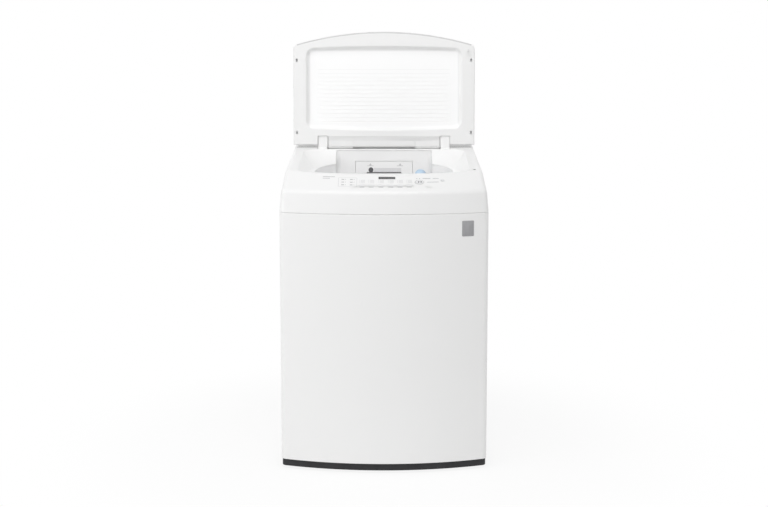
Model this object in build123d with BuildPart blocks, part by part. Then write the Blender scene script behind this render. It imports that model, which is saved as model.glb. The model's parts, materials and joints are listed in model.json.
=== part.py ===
from build123d import *
import os
from math import cos, pi, radians, sin, sqrt, tan

os.makedirs("parts", exist_ok=True)

# Top load washing machine with its lid open. +Z is up, the front faces -Y and the origin is on the
# floor under the middle of the machine. All sizes are in millimetres and degrees.

# Overall sizes
width = 686.0
depth = 721.0
front_bow = 60.0            # the middle of the front stands this far before its corners
corner_radius = 22.0
floor_gap = 10.0
plinth_height = 23.0
seam_height = 862.0         # top of the sheet metal, where the moulded top begins

# Sheet metal
sheet = 1.2
flange = 26.0
rim_flange = 14.0           # turned in round the top and on the base
bend_radius = 3.0
rear_relief = 6.0           # the back sheet lies this far inside the overall depth
rear_sheet = 1.2
rear_margin = 10.0
rear_rib_width = 34.0
rear_rib_side = 163.0        # outer ribs from the sides of the machine
rear_rib_end = 120.0
rear_rib_count = 4
rear_rib_height = 2.4
rear_rib_slope = 30.0
rear_lower_gap = 13.0
rear_upper_gap = 8.0

# Base and feet
plinth_inset = 3.0
base_rail = 32.0
base_plate = 9.0
base_gusset = 96.0
foot_side_inset = 58.0
foot_front_inset = 70.0
foot_rear_inset = 58.0
foot_radius = 22.0
foot_thickness = 8.5
foot_chamfer = 2.0
foot_stem_radius = 6.0
foot_stem_reach = 19.0      # of the thread above the base
fit_gap = 0.3               # running clearance all round pieces that move in one another

# Moulded top
moulding = 3.0
side_lean = 5.0
panel_slope = 22.0
panel_run = 111.3           # level distance from the front to the lip of the opening
lip_rise = 115.3            # lip of the opening above the seam
deck_slope = 7.1
cover_edge_radius = 18.0
cover_foot_radius = 2.0

# Loading opening
rail_width = 53.0           # deck beside the opening
recess_front = 32.0         # front edge of the opening behind the lip
recess_corner = 46.0
funnel_side = 50.0
funnel_front = 16.0
mouth_rear_step = 54.0
mouth_corner = 150.0
funnel_depth = 37.0
skirt_rise = 44.0           # foot of the skirt above the seam, clear of the tub at the top of its travel

# Lid and hinge
hinge_inset = 157.8         # hinge axis from the back
lid_side_gap = 14.0
lid_bow = 48.4
lid_setback = 28.4          # front edge of the closed lid behind the lip
lid_thickness = 26.0
lid_skin = 2.5
lid_heel = 18.0
lid_tongue_half = 205.0
lid_tongue_heel = 8.0
lid_notch_width = 35.0
lid_notch_depth = 49.0
lid_corner = 20.0
lid_edge_radius = 7.0
lid_rest_gap = 1.5
lid_lean = 4.0
liner_plate = 3.0
liner_inset = 0.6
liner_gap = 0.4
tongue_step = 46.0
tongue_sink = 4.5
tongue_plate = 3.0
tongue_middle = 113.0
tongue_raise = 1.5
pan_side_margin = 46.0
pan_low = 78.0
pan_front_margin = 60.0
pan_bow = 8.0
pan_corner = 30.0
pan_depth = 12.0
pan_slope = 35.0
pan_edge_radius = 4.0
pan_floor_radius = 8.0
pan_rib_pitch = 14.6
pan_rib_low = 27.0          # first rib from the pan's lower edge
pan_rib_high = 92.0
pan_rib_margin = 43.0
pan_rib_width = 3.0
pan_rib_height = 0.8
liner_screw_side = 12.5
liner_screw_low = 62.0
liner_screw_front = 103.0
liner_slot_width = 6.0
liner_slot_length = 11.0
screw_boss_radius = 5.0
screw_boss_gap = 5.0
screw_head_radius = 2.7
screw_head_height = 2.0
screw_shank_radius = 1.4
screw_shank_length = 9.0
hinge_sink = 5.0
hinge_pin_radius = 4.0
knuckle_radius = 9.0
arm_width = 33.0
arm_length = 69.0
arm_side_gap = 1.0
pin_boss_radius = 9.5
pin_boss_length = 20.0
pin_fit = 0.1
trough_front = 12.0
trough_rear = 46.0
trough_side_gap = 2.0
trough_depth = 12.6         # floor of the hinge trough below the hinge axis
trough_shelf = 3.0          # shelves over the trough beside its middle, above the hinge axis
strike_side = 24.0
strike_front = 29.5
strike_width = 6.0
strike_plate = 3.0
strike_drop = 18.0
strike_hook = 6.0
strike_play = 1.2
lock_width = 19.0
lock_length = 62.0
lock_height = 26.0
lock_sink = 9.0             # the lock hangs this far under the rail, on a tab behind the socket
lock_tab = 22.0
lock_front = 20.0

# Dispenser
housing_half = 171.0
housing_rise = 56.0         # floor of the dispenser above the seam
housing_set = 24.7          # top of the slanted face before the hinge axis
housing_slant = 60.0
housing_top_gap = 1.2
housing_behind = 97.3
housing_wall = 4.0
housing_fit = 0.5
notch_reach = 22.0          # the funnel is cut away this far before the foot of the slanted face
drawer_half = 102.0
drawer_side_gap = 1.0
drawer_rise = 12.0          # drawer above the dispenser's floor
drawer_height = 60.0
drawer_body_half = 97.0
drawer_body_height = 54.0
drawer_behind = 69.3
drawer_front_plate = 7.0
drawer_wall = 2.5
drawer_play = 0.5
drawer_divider = 3.0
drawer_slot_half = 66.0
drawer_slot_height = 11.0
drawer_slot_rise = 15.0
drawer_slot_depth = 4.0
drain_slot_width = 46.0
drain_slot_length = 14.0
drain_slot_pitch = 66.0
drain_slot_count = 3
drain_slot_set = 32.0
cap_x = 131.0
cap_rise = 26.0
cap_radius = 20.0
cap_dome = 11.0
cap_rim = 3.0
cap_plug_radius = 13.0
cap_plug_length = 11.0
cap_wall = 3.0

# Control panel, by place across the panel and by distance down the slope from the lip
display_x = 9.5
display_along = 15.0
display_width = 55.0
display_height = 16.0
display_corner = 2.0
display_depth = 2.0
display_gap = 0.2
display_light_margin = 6.0
key_places = (-72.0, -42.0, -10.0, 22.0, 52.0, 82.0)
key_along = 69.0
key_width = 22.0
key_height = 9.0
key_corner = 3.0
start_x = 116.0
start_along = 46.0
start_radius = 12.5
power_x = 192.0
power_along = 37.0
power_radius = 7.0
button_proud = 0.6
button_gap = 0.35
button_collar = 2.5
button_collar_height = 1.6
button_stem = 3.0
button_stem_radius = 2.5
button_travel = 1.2
board_along = 44.0
board_middle = 24.0
board_width = 390.0
board_height = 92.0
board_thickness = 2.4
board_drop = 24.0           # board below the panel at its own middle
board_post_radius = 4.0
board_boss_radius = 5.0
board_boss_x = 120.0
board_boss_y = 36.0

# Water, power and drain connections at the back
inlet_inset = 233.0         # middle of the connections from the right side
inlet_pitch = 62.0
inlet_rise = 100.0
inlet_pocket_width = 150.0
inlet_pocket_height = 62.0
inlet_pocket_depth = 25.0
spigot_radius = 13.2
spigot_length = 18.0
spigot_bore = 8.0
spigot_gap = 0.5
spigot_collar = 1.8
valve_width = 126.0
valve_height = 44.0
valve_depth = 30.0
coil_radius = 14.0
coil_length = 34.0
box_inset = 143.0
box_width = 150.0
box_height = 92.0
box_depth = 48.0
box_rise = 88.0
box_fin_count = 6
box_fin_depth = 3.0
drain_inset = 86.0
drain_level = 300.0
drain_cup_radius = 34.0
drain_cup_wall = 2.5
drain_cup_depth = 34.0
drain_flange = 9.0
drain_flange_thickness = 2.0
drain_spigot_radius = 15.0
drain_spigot_bore = 11.5
drain_spigot_length = 26.0
drain_tail = 14.0
drain_gap = 0.3
gland_inset = 128.0
gland_drop = 82.0
gland_radius = 9.0
gland_flange = 4.0
gland_flange_thickness = 2.5
gland_length = 14.0
gland_bore = 4.5
rear_screw_inset = 19.0
rear_screw_low = 87.0
rear_screw_high = 62.0
rear_screw_rows = 3
rear_screw_radius = 2.2
rear_screw_head = 4.6
rear_screw_head_height = 2.4
rear_screw_length = 12.0

# Tub, hung on four rods
tub_y = -10.0
tub_radius = 284.0
tub_wall = 3.5
tub_floor = 340.0
tub_floor_wall = 4.0
tub_rise = 10.0             # rim of the tub above the seam
tub_cover_width = 41.0
tub_cover_rise = 14.0
tub_cover_wall = 4.0
tub_cover_lip = 8.0
rod_side = 68.0
rod_y = 235.0
rod_radius = 5.0
rod_ball_radius = 11.0
rod_ball_height = 13.0
rod_ball_slope = 20.0
rod_reach = 142.0           # of the rods below the tub's lugs
rod_seat_radius = 17.0
rod_seat_height = 6.0
bracket_drop = 27.0
bracket_plate = 4.0
bracket_reach = 52.0
bracket_lip = 30.0
bracket_hole_gap = 1.5
bracket_gap = 0.2
lug_rise = 80.0
lug_height = 22.0
lug_width = 56.0
lug_hole_radius = 13.0
lug_end_radius = 24.0
cup_radius = 20.0
cup_height = 34.0
cup_wall = 3.0
cup_neck_gap = 0.4
spring_outer = 14.0
spring_inner = 8.0

# Drum
drum_clearance = 22.0
drum_wall_thickness = 1.5
drum_rise = 32.0
drum_drop = 32.0
drum_hole_columns = 12
drum_hole_rows = 4
drum_hole_radius = 3.5
drum_hole_low = 88.0
drum_hole_pitch = 90.0
drum_rim_gap = 0.2
drum_base_lip = 24.0
drum_base_wall = 3.0
ring_width = 29.0
ring_height = 40.0
ring_drop = 8.0
ring_lip = 5.0
ring_bevel = 7.0
hub_radius = 130.0
hub_height = 16.0
hub_boss_radius = 36.0
hub_arm_count = 6
hub_arm_width = 26.0
spin_radius = 17.0
spin_over = 4.0
shaft_gap = 0.3

# Wash plate and drive
plate_margin = 40.0
plate_gap = 3.0
plate_thickness = 5.0
plate_rise = 26.0
plate_rim = 12.0
fin_count = 6
fin_thickness = 12.0
fin_height = 42.0
fin_inner = 46.0
fin_margin = 26.0
plate_hub_radius = 34.0
plate_hub_height = 44.0
plate_cap_radius = 30.0
plate_cap_height = 9.0
plate_cap_bevel = 4.0
drive_radius = 10.0
drive_over = 32.0
housing_hub_radius = 38.0
housing_flange_radius = 150.0
housing_flange_height = 10.0
housing_under = 22.0
housing_nose = 5.0
housing_pedestal_radius = 62.0
housing_rib_count = 6
housing_rib_width = 8.0
upper_bearing_radius = 31.0
upper_bearing_height = 16.0
upper_bearing_drop = 20.0
lower_bearing_radius = 27.0
lower_bearing_height = 15.0
bearing_fit = 0.1
seal_height = 7.0
seal_radius = 28.0
stator_drop = 68.0
stator_height = 32.0
stator_radius = 124.0
stator_yoke_radius = 82.0
stator_pole_count = 24
stator_pole_width = 8.0
stator_tip_width = 12.0
stator_tip_depth = 6.0
rotor_gap = 2.0
rotor_magnet = 6.0
rotor_wall = 4.0
rotor_under = 40.0
rotor_over = 4.0
rotor_hub_radius = 24.0
rotor_hub_drop = 12.0
rotor_window_count = 8
rotor_window_width = 24.0
rotor_window_length = 46.0
nut_radius = 15.0
nut_height = 11.0
pump_x = 150.0
pump_y = 130.0
pump_radius = 42.0
pump_height = 62.0
pump_motor_radius = 29.0
pump_motor_height = 46.0
pump_spigot_radius = 15.0
pump_spigot_bore = 11.0
pump_spigot_reach = 70.0

# Places that follow from the sizes
front_y = -depth / 2
rear_y = depth / 2
cabinet_rear = rear_y - rear_relief
cabinet_bottom = floor_gap + plinth_height
bow_radius = ((width / 2) ** 2 + front_bow**2) / (2 * front_bow)
bow_axis_y = front_y + bow_radius
front_corner_y = front_y + front_bow
lip_y = front_y + panel_run
lip_radius = bow_radius - panel_run
lip_height = seam_height + lip_rise
hinge_y = rear_y - hinge_inset


def deck_height(y):
    """Height of the sloped deck at a distance behind the middle of the machine."""
    return lip_height + (y - lip_y) * tan(radians(deck_slope))


cover_rise = deck_height(rear_y) - seam_height + moulding
hinge_z = deck_height(hinge_y) - hinge_sink
recess_half = width / 2 - rail_width
mouth_half = recess_half - funnel_side
skirt_bottom = seam_height + skirt_rise
lid_half = width / 2 - lid_side_gap
lid_reach = (hinge_y - lip_y) / cos(radians(deck_slope)) - lid_setback
lid_bow_radius = (lid_half**2 + lid_bow**2) / (2 * lid_bow)
pan_half = lid_half - pan_side_margin
pan_high = lid_reach - pan_front_margin
pan_rib_half = pan_half - pan_rib_margin
pan_rib_count = 1 + int((pan_high - pan_low - pan_rib_low - pan_rib_high) / pan_rib_pitch)
strike_x = lid_half - strike_side
strike_reach = lid_reach - lid_bow_radius + sqrt(lid_bow_radius**2 - strike_x**2) - strike_front
lid_inner_face = -(hinge_sink + lid_rest_gap)
lid_outer_face = lid_inner_face - lid_thickness
arm_x = lid_tongue_half + lid_notch_width / 2
trough_half = arm_x + arm_width / 2 + trough_side_gap
trough_floor = hinge_z - trough_depth
rim_width = trough_front + moulding + 2 * moulding
recess_rear = lid_setback + lid_reach - rim_width
deck_plane = Plane(
    origin=(0, lip_y, lip_height),
    x_dir=(1, 0, 0),
    z_dir=(0, -sin(radians(deck_slope)), cos(radians(deck_slope))),
)
lid_plane = Plane(
    origin=(0, hinge_y, hinge_z),
    x_dir=(1, 0, 0),
    z_dir=(0, -cos(radians(lid_lean)), sin(radians(lid_lean))),
)
foot_places = [
    (side * (width / 2 - foot_side_inset), y)
    for y in (front_corner_y + foot_front_inset, cabinet_rear - foot_rear_inset)
    for side in (-1, 1)
]
rod_x = width / 2 - rod_side
rod_places = [(side * rod_x, tub_y + end * rod_y) for end in (-1, 1) for side in (-1, 1)]
rear_screw_step = (seam_height - rear_screw_high - cabinet_bottom - rear_screw_low) / (rear_screw_rows - 1)
rear_screw_places = [
    (side * (width / 2 - rear_screw_inset), cabinet_bottom + rear_screw_low + row * rear_screw_step)
    for side in (-1, 1)
    for row in range(rear_screw_rows)
]
housing_floor = seam_height + housing_rise
housing_top_y = hinge_y - housing_set
housing_foot = housing_top_y - housing_slant
housing_rear = hinge_y + housing_behind
drawer_base = housing_floor + drawer_rise
drawer_rear = hinge_y + drawer_behind
cap_level = housing_floor + cap_rise
inlet_x = width / 2 - inlet_inset
inlet_level = seam_height + inlet_rise
box_x = box_inset - width / 2
box_level = seam_height + box_rise
drain_x = width / 2 - drain_inset
gland_x = gland_inset - width / 2
gland_level = seam_height - gland_drop
bracket_level = seam_height - bracket_drop
rod_top = bracket_level + bracket_plate + rod_ball_height
tub_top = seam_height + tub_rise
tub_under = tub_floor - tub_floor_wall
lug_level = tub_floor + lug_rise
rod_bottom = lug_level - rod_reach
drum_radius = tub_radius - drum_clearance
drum_floor = tub_floor + drum_rise
drum_top = tub_top - drum_drop
ring_inner = drum_radius - ring_width
ring_top = tub_top - ring_drop
tub_cover_inner = tub_radius - tub_cover_width
plate_radius = drum_radius - plate_margin
fin_outer = plate_radius - fin_margin
stator_level = tub_under - stator_drop
housing_bottom = stator_level - housing_under
housing_nose_top = tub_floor + housing_nose
upper_bearing_level = tub_under - upper_bearing_drop
spin_bottom = housing_bottom - spin_over
rotor_level = stator_level - rotor_under
rotor_rim_top = stator_level + stator_height + rotor_over
drive_bottom = rotor_level - drive_over


def footprint(inset, rear):
    """Plan of the machine: straight sides and back, bowed front and two rounded front corners."""
    half = width / 2 - inset
    radius = bow_radius - inset
    side_y = bow_axis_y - sqrt(radius**2 - half**2)
    with BuildSketch() as outline:
        with BuildLine():
            Polyline((half, side_y), (half, rear), (-half, rear), (-half, side_y))
            ThreePointArc((-half, side_y), (0, bow_axis_y - radius), (half, side_y))
        make_face()
        front_corners = outline.vertices().sort_by(Axis.Y)[:2]
        if corner_radius > inset:
            fillet(front_corners, corner_radius - inset)
    return outline.sketch


def panel_plane(x, along):
    """Plane that touches the bowed panel at a place across it and a distance down from the lip."""
    radius = lip_radius + along * cos(radians(panel_slope))
    back = sqrt(radius**2 - x**2)
    tilt = radians(panel_slope)
    return Plane(
        origin=(x, bow_axis_y - back, lip_height - along * sin(tilt)),
        x_dir=(back / radius, x / radius, 0),
        z_dir=(sin(tilt) * x / radius, -sin(tilt) * back / radius, cos(tilt)),
    )


def cover_block(inset):
    """Filled form of the moulded top, or of the hollow in it when set in by its wall."""
    run_out = cover_rise * tan(radians(side_lean)) + moulding
    drop = inset / cos(radians(deck_slope))
    panel_drop = inset / cos(radians(panel_slope))
    panel_rise = tan(radians(panel_slope))
    above = seam_height + cover_rise + panel_run
    with BuildPart() as block:
        with BuildSketch(Plane.XY.offset(seam_height)):
            add(footprint(inset, rear_y + run_out))
        extrude(amount=cover_rise, taper=side_lean)
        with BuildSketch(Plane.YZ):
            with BuildLine():
                Polyline(
                    (front_y - panel_run, deck_height(front_y - panel_run) - drop),
                    (rear_y - inset, deck_height(rear_y - inset) - drop),
                    (rear_y - inset, 0),
                    (rear_y + depth, 0),
                    (rear_y + depth, above),
                    (front_y - panel_run, above),
                    close=True,
                )
            make_face()
        extrude(amount=width, both=True, mode=Mode.SUBTRACT)
        with BuildSketch(Plane.YZ):
            with BuildLine():
                Polyline(
                    (lip_y + panel_run, lip_height - panel_drop + panel_run * panel_rise),
                    (front_y - panel_run, lip_height - panel_drop - 2 * panel_run * panel_rise),
                    (front_y - panel_run, above),
                    (lip_y + panel_run, above),
                    close=True,
                )
            make_face()
        revolve(axis=Axis((0, bow_axis_y, 0), (0, 0, 1)), mode=Mode.SUBTRACT)
        top_edges = [
            edge
            for face in block.faces()
            if face.normal_at().Z > 0.5
            for edge in face.edges()
        ]
        wall_edges = [
            edge
            for face in block.faces()
            if abs(face.normal_at().Z) < 0.5 and face.normal_at().Y < 0.5
            for edge in face.edges()
        ]
        fillet([edge for edge in top_edges if edge in wall_edges], cover_edge_radius - inset)
    return block.part


def opening_outline(half, front, rear, corner):
    """Outline of the loading opening on the deck: bowed front, straight sides and back."""
    bow = half**2 / (2 * lid_bow_radius)
    with BuildSketch() as outline:
        with BuildLine():
            Polyline((half, front + bow), (half, rear), (-half, rear), (-half, front + bow))
            ThreePointArc((-half, front + bow), (0, front), (half, front + bow))
        make_face()
        fillet(outline.vertices(), corner)
    return outline.sketch


def funnel(grow):
    """Filled form of the funnel from the deck down to the mouth, with its skirt."""
    recess = opening_outline(
        recess_half + grow, recess_front - grow, recess_rear + grow, recess_corner + grow
    )
    mouth = opening_outline(
        mouth_half + grow,
        recess_front + funnel_front - grow,
        recess_rear - mouth_rear_step + grow,
        mouth_corner + grow,
    )
    with BuildPart() as form:
        with BuildSketch(deck_plane):
            add(recess)
        with BuildSketch(deck_plane.offset(-funnel_depth)):
            add(mouth)
        loft()
        with BuildSketch(deck_plane.offset(-funnel_depth)):
            add(mouth)
        extrude(amount=-lip_rise)
        split(bisect_by=Plane.XY.offset(skirt_bottom - moulding + grow), keep=Keep.TOP)
    return form.part


def face_y(level):
    """Place of the dispenser's slanted face at a height."""
    return housing_foot + (level - housing_floor) * (housing_top_y - housing_foot) / (
        housing_top - housing_floor
    )


housing_top = deck_height(housing_top_y) - moulding / cos(radians(deck_slope)) - housing_top_gap
face_length = sqrt((housing_top - housing_floor) ** 2 + (housing_top_y - housing_foot) ** 2)
face_normal = (
    0,
    -(housing_top - housing_floor) / face_length,
    (housing_top_y - housing_foot) / face_length,
)
housing_neck = hinge_y - trough_front - moulding
housing_shelf = trough_floor - moulding


def face_plane(x, level):
    """Plane on the dispenser's slanted face."""
    return Plane(origin=(x, face_y(level), level), x_dir=(1, 0, 0), z_dir=face_normal)


def save(piece, name):
    """Labels a finished piece and writes it to its own file."""
    piece.part.label = name
    export_step(piece.part, f"parts/{name}.step")


# Base frame with the dark plinth and a plate over each foot
with BuildPart() as base:
    with BuildSketch(Plane.XY.offset(floor_gap)):
        add(footprint(plinth_inset, cabinet_rear - plinth_inset))
    extrude(amount=plinth_height)
    with BuildSketch(Plane.XY.offset(floor_gap)):
        with Locations((0, (front_corner_y + cabinet_rear) / 2)):
            RectangleRounded(
                width - 2 * (plinth_inset + base_rail),
                cabinet_rear - front_corner_y - 2 * (plinth_inset + base_rail),
                base_rail,
            )
    extrude(amount=plinth_height, mode=Mode.SUBTRACT)
    with BuildSketch(Plane.XY.offset(cabinet_bottom)):
        with Locations(*foot_places):
            Rectangle(base_gusset, base_gusset)
        add(footprint(plinth_inset, cabinet_rear - plinth_inset), mode=Mode.INTERSECT)
    extrude(amount=-base_plate)
    with BuildSketch(Plane.XY.offset(floor_gap)):
        with Locations(*foot_places):
            Circle(foot_stem_radius + fit_gap)
    extrude(amount=plinth_height, mode=Mode.SUBTRACT)
save(base, "base")

# Levelling feet: a round pad on a threaded stem
foot_names = ("foot_front_left", "foot_front_right", "foot_rear_left", "foot_rear_right")
for foot_name, foot_place in zip(foot_names, foot_places):
    with BuildPart() as foot:
        with BuildSketch(Plane.XY):
            with Locations(foot_place):
                Circle(foot_radius)
        extrude(amount=foot_thickness)
        chamfer(foot.edges().sort_by(Axis.Z)[-1], foot_chamfer)
        with BuildSketch(Plane.XY.offset(foot_thickness)):
            with Locations(foot_place):
                Circle(foot_stem_radius)
        extrude(amount=cabinet_bottom + foot_stem_reach - foot_thickness)
    save(foot, foot_name)


def cabinet_block(inset):
    """Filled form of the sheet metal cabinet, with its bend round the top."""
    with BuildPart() as block:
        with BuildSketch(Plane.XY.offset(cabinet_bottom + inset)):
            add(footprint(inset, cabinet_rear - inset))
        extrude(amount=seam_height - cabinet_bottom - 2 * inset)
        top_edges = block.edges().group_by(Axis.Z)[-1].sort_by(Axis.Y)
        fillet(top_edges[:-1], bend_radius - inset)
    return block.part


# Cabinet: sides and bowed front in one sheet, turned in at the back, round the top and on the base
with BuildPart() as cabinet:
    add(cabinet_block(0))
    add(cabinet_block(sheet), mode=Mode.SUBTRACT)
    with BuildSketch(Plane.XY.offset(cabinet_bottom)):
        add(footprint(rim_flange, cabinet_rear - rim_flange))
    extrude(amount=seam_height - cabinet_bottom, mode=Mode.SUBTRACT)
    with BuildSketch(Plane.XZ.offset(-cabinet_rear)):
        with Locations((0, (cabinet_bottom + seam_height) / 2)):
            Rectangle(width - 2 * flange, seam_height - cabinet_bottom - 2 * sheet)
    extrude(amount=sheet, mode=Mode.SUBTRACT)
    with BuildSketch(Plane.XZ.offset(-cabinet_rear)):
        with Locations(*rear_screw_places):
            Circle(rear_screw_radius + pin_fit)
    extrude(amount=sheet, mode=Mode.SUBTRACT)
save(cabinet, "cabinet")

# Back sheet with pressed ribs and holes for the connections
rear_half = width / 2 - rear_margin
rear_rib_pitch = (width - 2 * rear_rib_side) / (rear_rib_count - 1)
rear_high = seam_height - rear_upper_gap
rear_lower = cabinet_bottom + rear_lower_gap
with BuildPart() as rear_panel:
    with BuildSketch(Plane.XZ.offset(-cabinet_rear)):
        with Locations((0, (rear_lower + rear_high) / 2)):
            Rectangle(2 * rear_half, rear_high - rear_lower)
    extrude(amount=-rear_sheet)
    with BuildSketch(Plane.XZ.offset(-cabinet_rear - rear_sheet)):
        with Locations((0, (rear_lower + rear_high) / 2)):
            with GridLocations(rear_rib_pitch, 1, rear_rib_count, 1):
                SlotOverall(rear_high - rear_lower - 2 * rear_rib_end, rear_rib_width, rotation=90)
    extrude(amount=-rear_rib_height, taper=rear_rib_slope)
    with BuildSketch(Plane.XZ.offset(-cabinet_rear)):
        with Locations((drain_x, drain_level)):
            Circle(drain_cup_radius + drain_gap)
        with Locations((gland_x, gland_level)):
            Circle(gland_radius + drain_gap)
        with Locations(*rear_screw_places):
            Circle(rear_screw_radius + pin_fit)
    extrude(amount=-rear_relief, mode=Mode.SUBTRACT)
save(rear_panel, "rear_panel")

with BuildPart() as cabinet_screws:
    with BuildSketch(Plane.XZ.offset(-cabinet_rear - rear_sheet)):
        with Locations(*rear_screw_places):
            Circle(rear_screw_head)
    extrude(amount=-rear_screw_head_height)
    with BuildSketch(Plane.XZ.offset(-cabinet_rear - rear_sheet)):
        with Locations(*rear_screw_places):
            Circle(rear_screw_radius)
    extrude(amount=rear_screw_length)
save(cabinet_screws, "cabinet_screws")

# Moulded top: bowed shell, sloped panel, funnel, hinge trough and pocket for the water connections
board_plane = panel_plane(board_middle, board_along).offset(-board_drop)
board_bosses = [
    (board_middle + across * board_boss_x, board_along - up * board_boss_y)
    for across in (-1, 1)
    for up in (-1, 1)
]
inlet_places = [(inlet_x - inlet_pitch / 2, inlet_level), (inlet_x + inlet_pitch / 2, inlet_level)]
outer_form = cover_block(0)
with BuildPart() as funnel_wall:
    add(funnel(moulding))
    add(outer_form, mode=Mode.INTERSECT)
with BuildPart() as top_cover:
    add(outer_form)
    foot_edges = top_cover.edges().group_by(Axis.Z)[0].sort_by(Axis.Y)
    fillet(foot_edges[:-1], cover_foot_radius)
    add(cover_block(moulding), mode=Mode.SUBTRACT)
    add(funnel_wall.part)
    with BuildSketch(Plane.XY.offset(trough_floor - moulding)):
        with Locations((0, hinge_y + (trough_rear - trough_front) / 2)):
            Rectangle(2 * (trough_half + moulding), trough_front + trough_rear + 2 * moulding)
    extrude(amount=moulding + trough_depth + hinge_sink / 2)
    with BuildSketch(Plane.YZ.offset(trough_half)):
        with Locations((hinge_y, hinge_z)):
            Circle(pin_boss_radius)
    extrude(amount=pin_boss_length)
    with BuildSketch(Plane.YZ.offset(-trough_half)):
        with Locations((hinge_y, hinge_z)):
            Circle(pin_boss_radius)
    extrude(amount=-pin_boss_length)
    add(outer_form, mode=Mode.INTERSECT)
    with BuildSketch(Plane.XZ.offset(-rear_y)):
        with Locations((inlet_x, inlet_level)):
            Rectangle(inlet_pocket_width + 2 * moulding, inlet_pocket_height + 2 * moulding)
    extrude(amount=inlet_pocket_depth + moulding)
    add(funnel(0), mode=Mode.SUBTRACT)
    with BuildSketch(Plane.XY.offset(trough_floor)):
        with Locations((0, hinge_y + (trough_rear - trough_front) / 2)):
            Rectangle(2 * trough_half, trough_front + trough_rear)
    extrude(amount=cover_rise, mode=Mode.SUBTRACT)
    shelf_end = lid_tongue_half - trough_side_gap
    with BuildSketch(Plane.XY.offset(hinge_z + trough_shelf)):
        with Locations((0, hinge_y + (trough_rear - trough_front) / 2)):
            Rectangle(2 * shelf_end, trough_front + trough_rear)
            Rectangle(2 * tongue_middle, trough_front + trough_rear, mode=Mode.SUBTRACT)
    extrude(amount=-moulding)
    with BuildSketch(Plane.YZ):
        with Locations((hinge_y, hinge_z)):
            Circle(hinge_pin_radius + pin_fit)
    extrude(amount=trough_half + pin_boss_length - moulding, both=True, mode=Mode.SUBTRACT)
    with BuildSketch(Plane.XZ.offset(-rear_y)):
        with Locations((inlet_x, inlet_level)):
            RectangleRounded(inlet_pocket_width, inlet_pocket_height, moulding)
    extrude(amount=inlet_pocket_depth, mode=Mode.SUBTRACT)
    with BuildSketch(Plane.XZ.offset(-rear_y)):
        with Locations(*inlet_places):
            Circle(spigot_radius + spigot_collar + spigot_gap)
    extrude(amount=inlet_pocket_depth + moulding, mode=Mode.SUBTRACT)
    with BuildSketch(Plane.YZ):
        with Locations((housing_foot - notch_reach, housing_top + housing_fit)):
            Rectangle(
                housing_neck - housing_fit - housing_foot + notch_reach,
                housing_top - skirt_bottom + moulding,
                align=(Align.MIN, Align.MAX),
            )
    extrude(amount=housing_half + housing_fit, both=True, mode=Mode.SUBTRACT)
    with BuildSketch(deck_plane):
        with Locations((strike_x, lid_setback + lid_reach - strike_reach)):
            Rectangle(strike_width + 2 * strike_play, 2 * strike_hook + 2 * strike_play)
    extrude(amount=lock_sink, both=True, mode=Mode.SUBTRACT)
    with BuildSketch(panel_plane(display_x, display_along).offset(display_depth)):
        RectangleRounded(display_width + 2 * display_gap, display_height + 2 * display_gap, display_corner)
    extrude(amount=-2 * display_depth, mode=Mode.SUBTRACT)
    with BuildSketch(panel_plane(display_x, display_along)):
        Rectangle(display_width - display_light_margin, display_height - display_light_margin)
    extrude(amount=-2 * moulding, mode=Mode.SUBTRACT)
    for key_x in key_places:
        with BuildSketch(panel_plane(key_x, key_along)):
            RectangleRounded(key_width + 2 * button_gap, key_height + 2 * button_gap, key_corner)
        extrude(amount=2 * moulding, both=True, mode=Mode.SUBTRACT)
    for round_x, round_along, round_radius in (
        (start_x, start_along, start_radius),
        (power_x, power_along, power_radius),
    ):
        with BuildSketch(panel_plane(round_x, round_along)):
            Circle(round_radius + button_gap)
        extrude(amount=2 * moulding, both=True, mode=Mode.SUBTRACT)
    for boss_x, boss_along in board_bosses:
        seat = board_plane.to_local_coords(panel_plane(boss_x, boss_along).origin)
        with BuildSketch(board_plane):
            with Locations((seat.X, seat.Y)):
                Circle(board_boss_radius)
        extrude(amount=seat.Z - moulding / 2)
save(top_cover, "top_cover")

# Steel pins that the lid turns on
with BuildPart() as hinge_pins:
    for side in (-1, 1):
        with BuildSketch(Plane.YZ.offset(side * (arm_x - arm_width / 2 + arm_side_gap))):
            with Locations((hinge_y, hinge_z)):
                Circle(hinge_pin_radius)
        extrude(amount=side * (arm_width + trough_side_gap + pin_boss_length - 2 * moulding))
save(hinge_pins, "hinge_pins")

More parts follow.
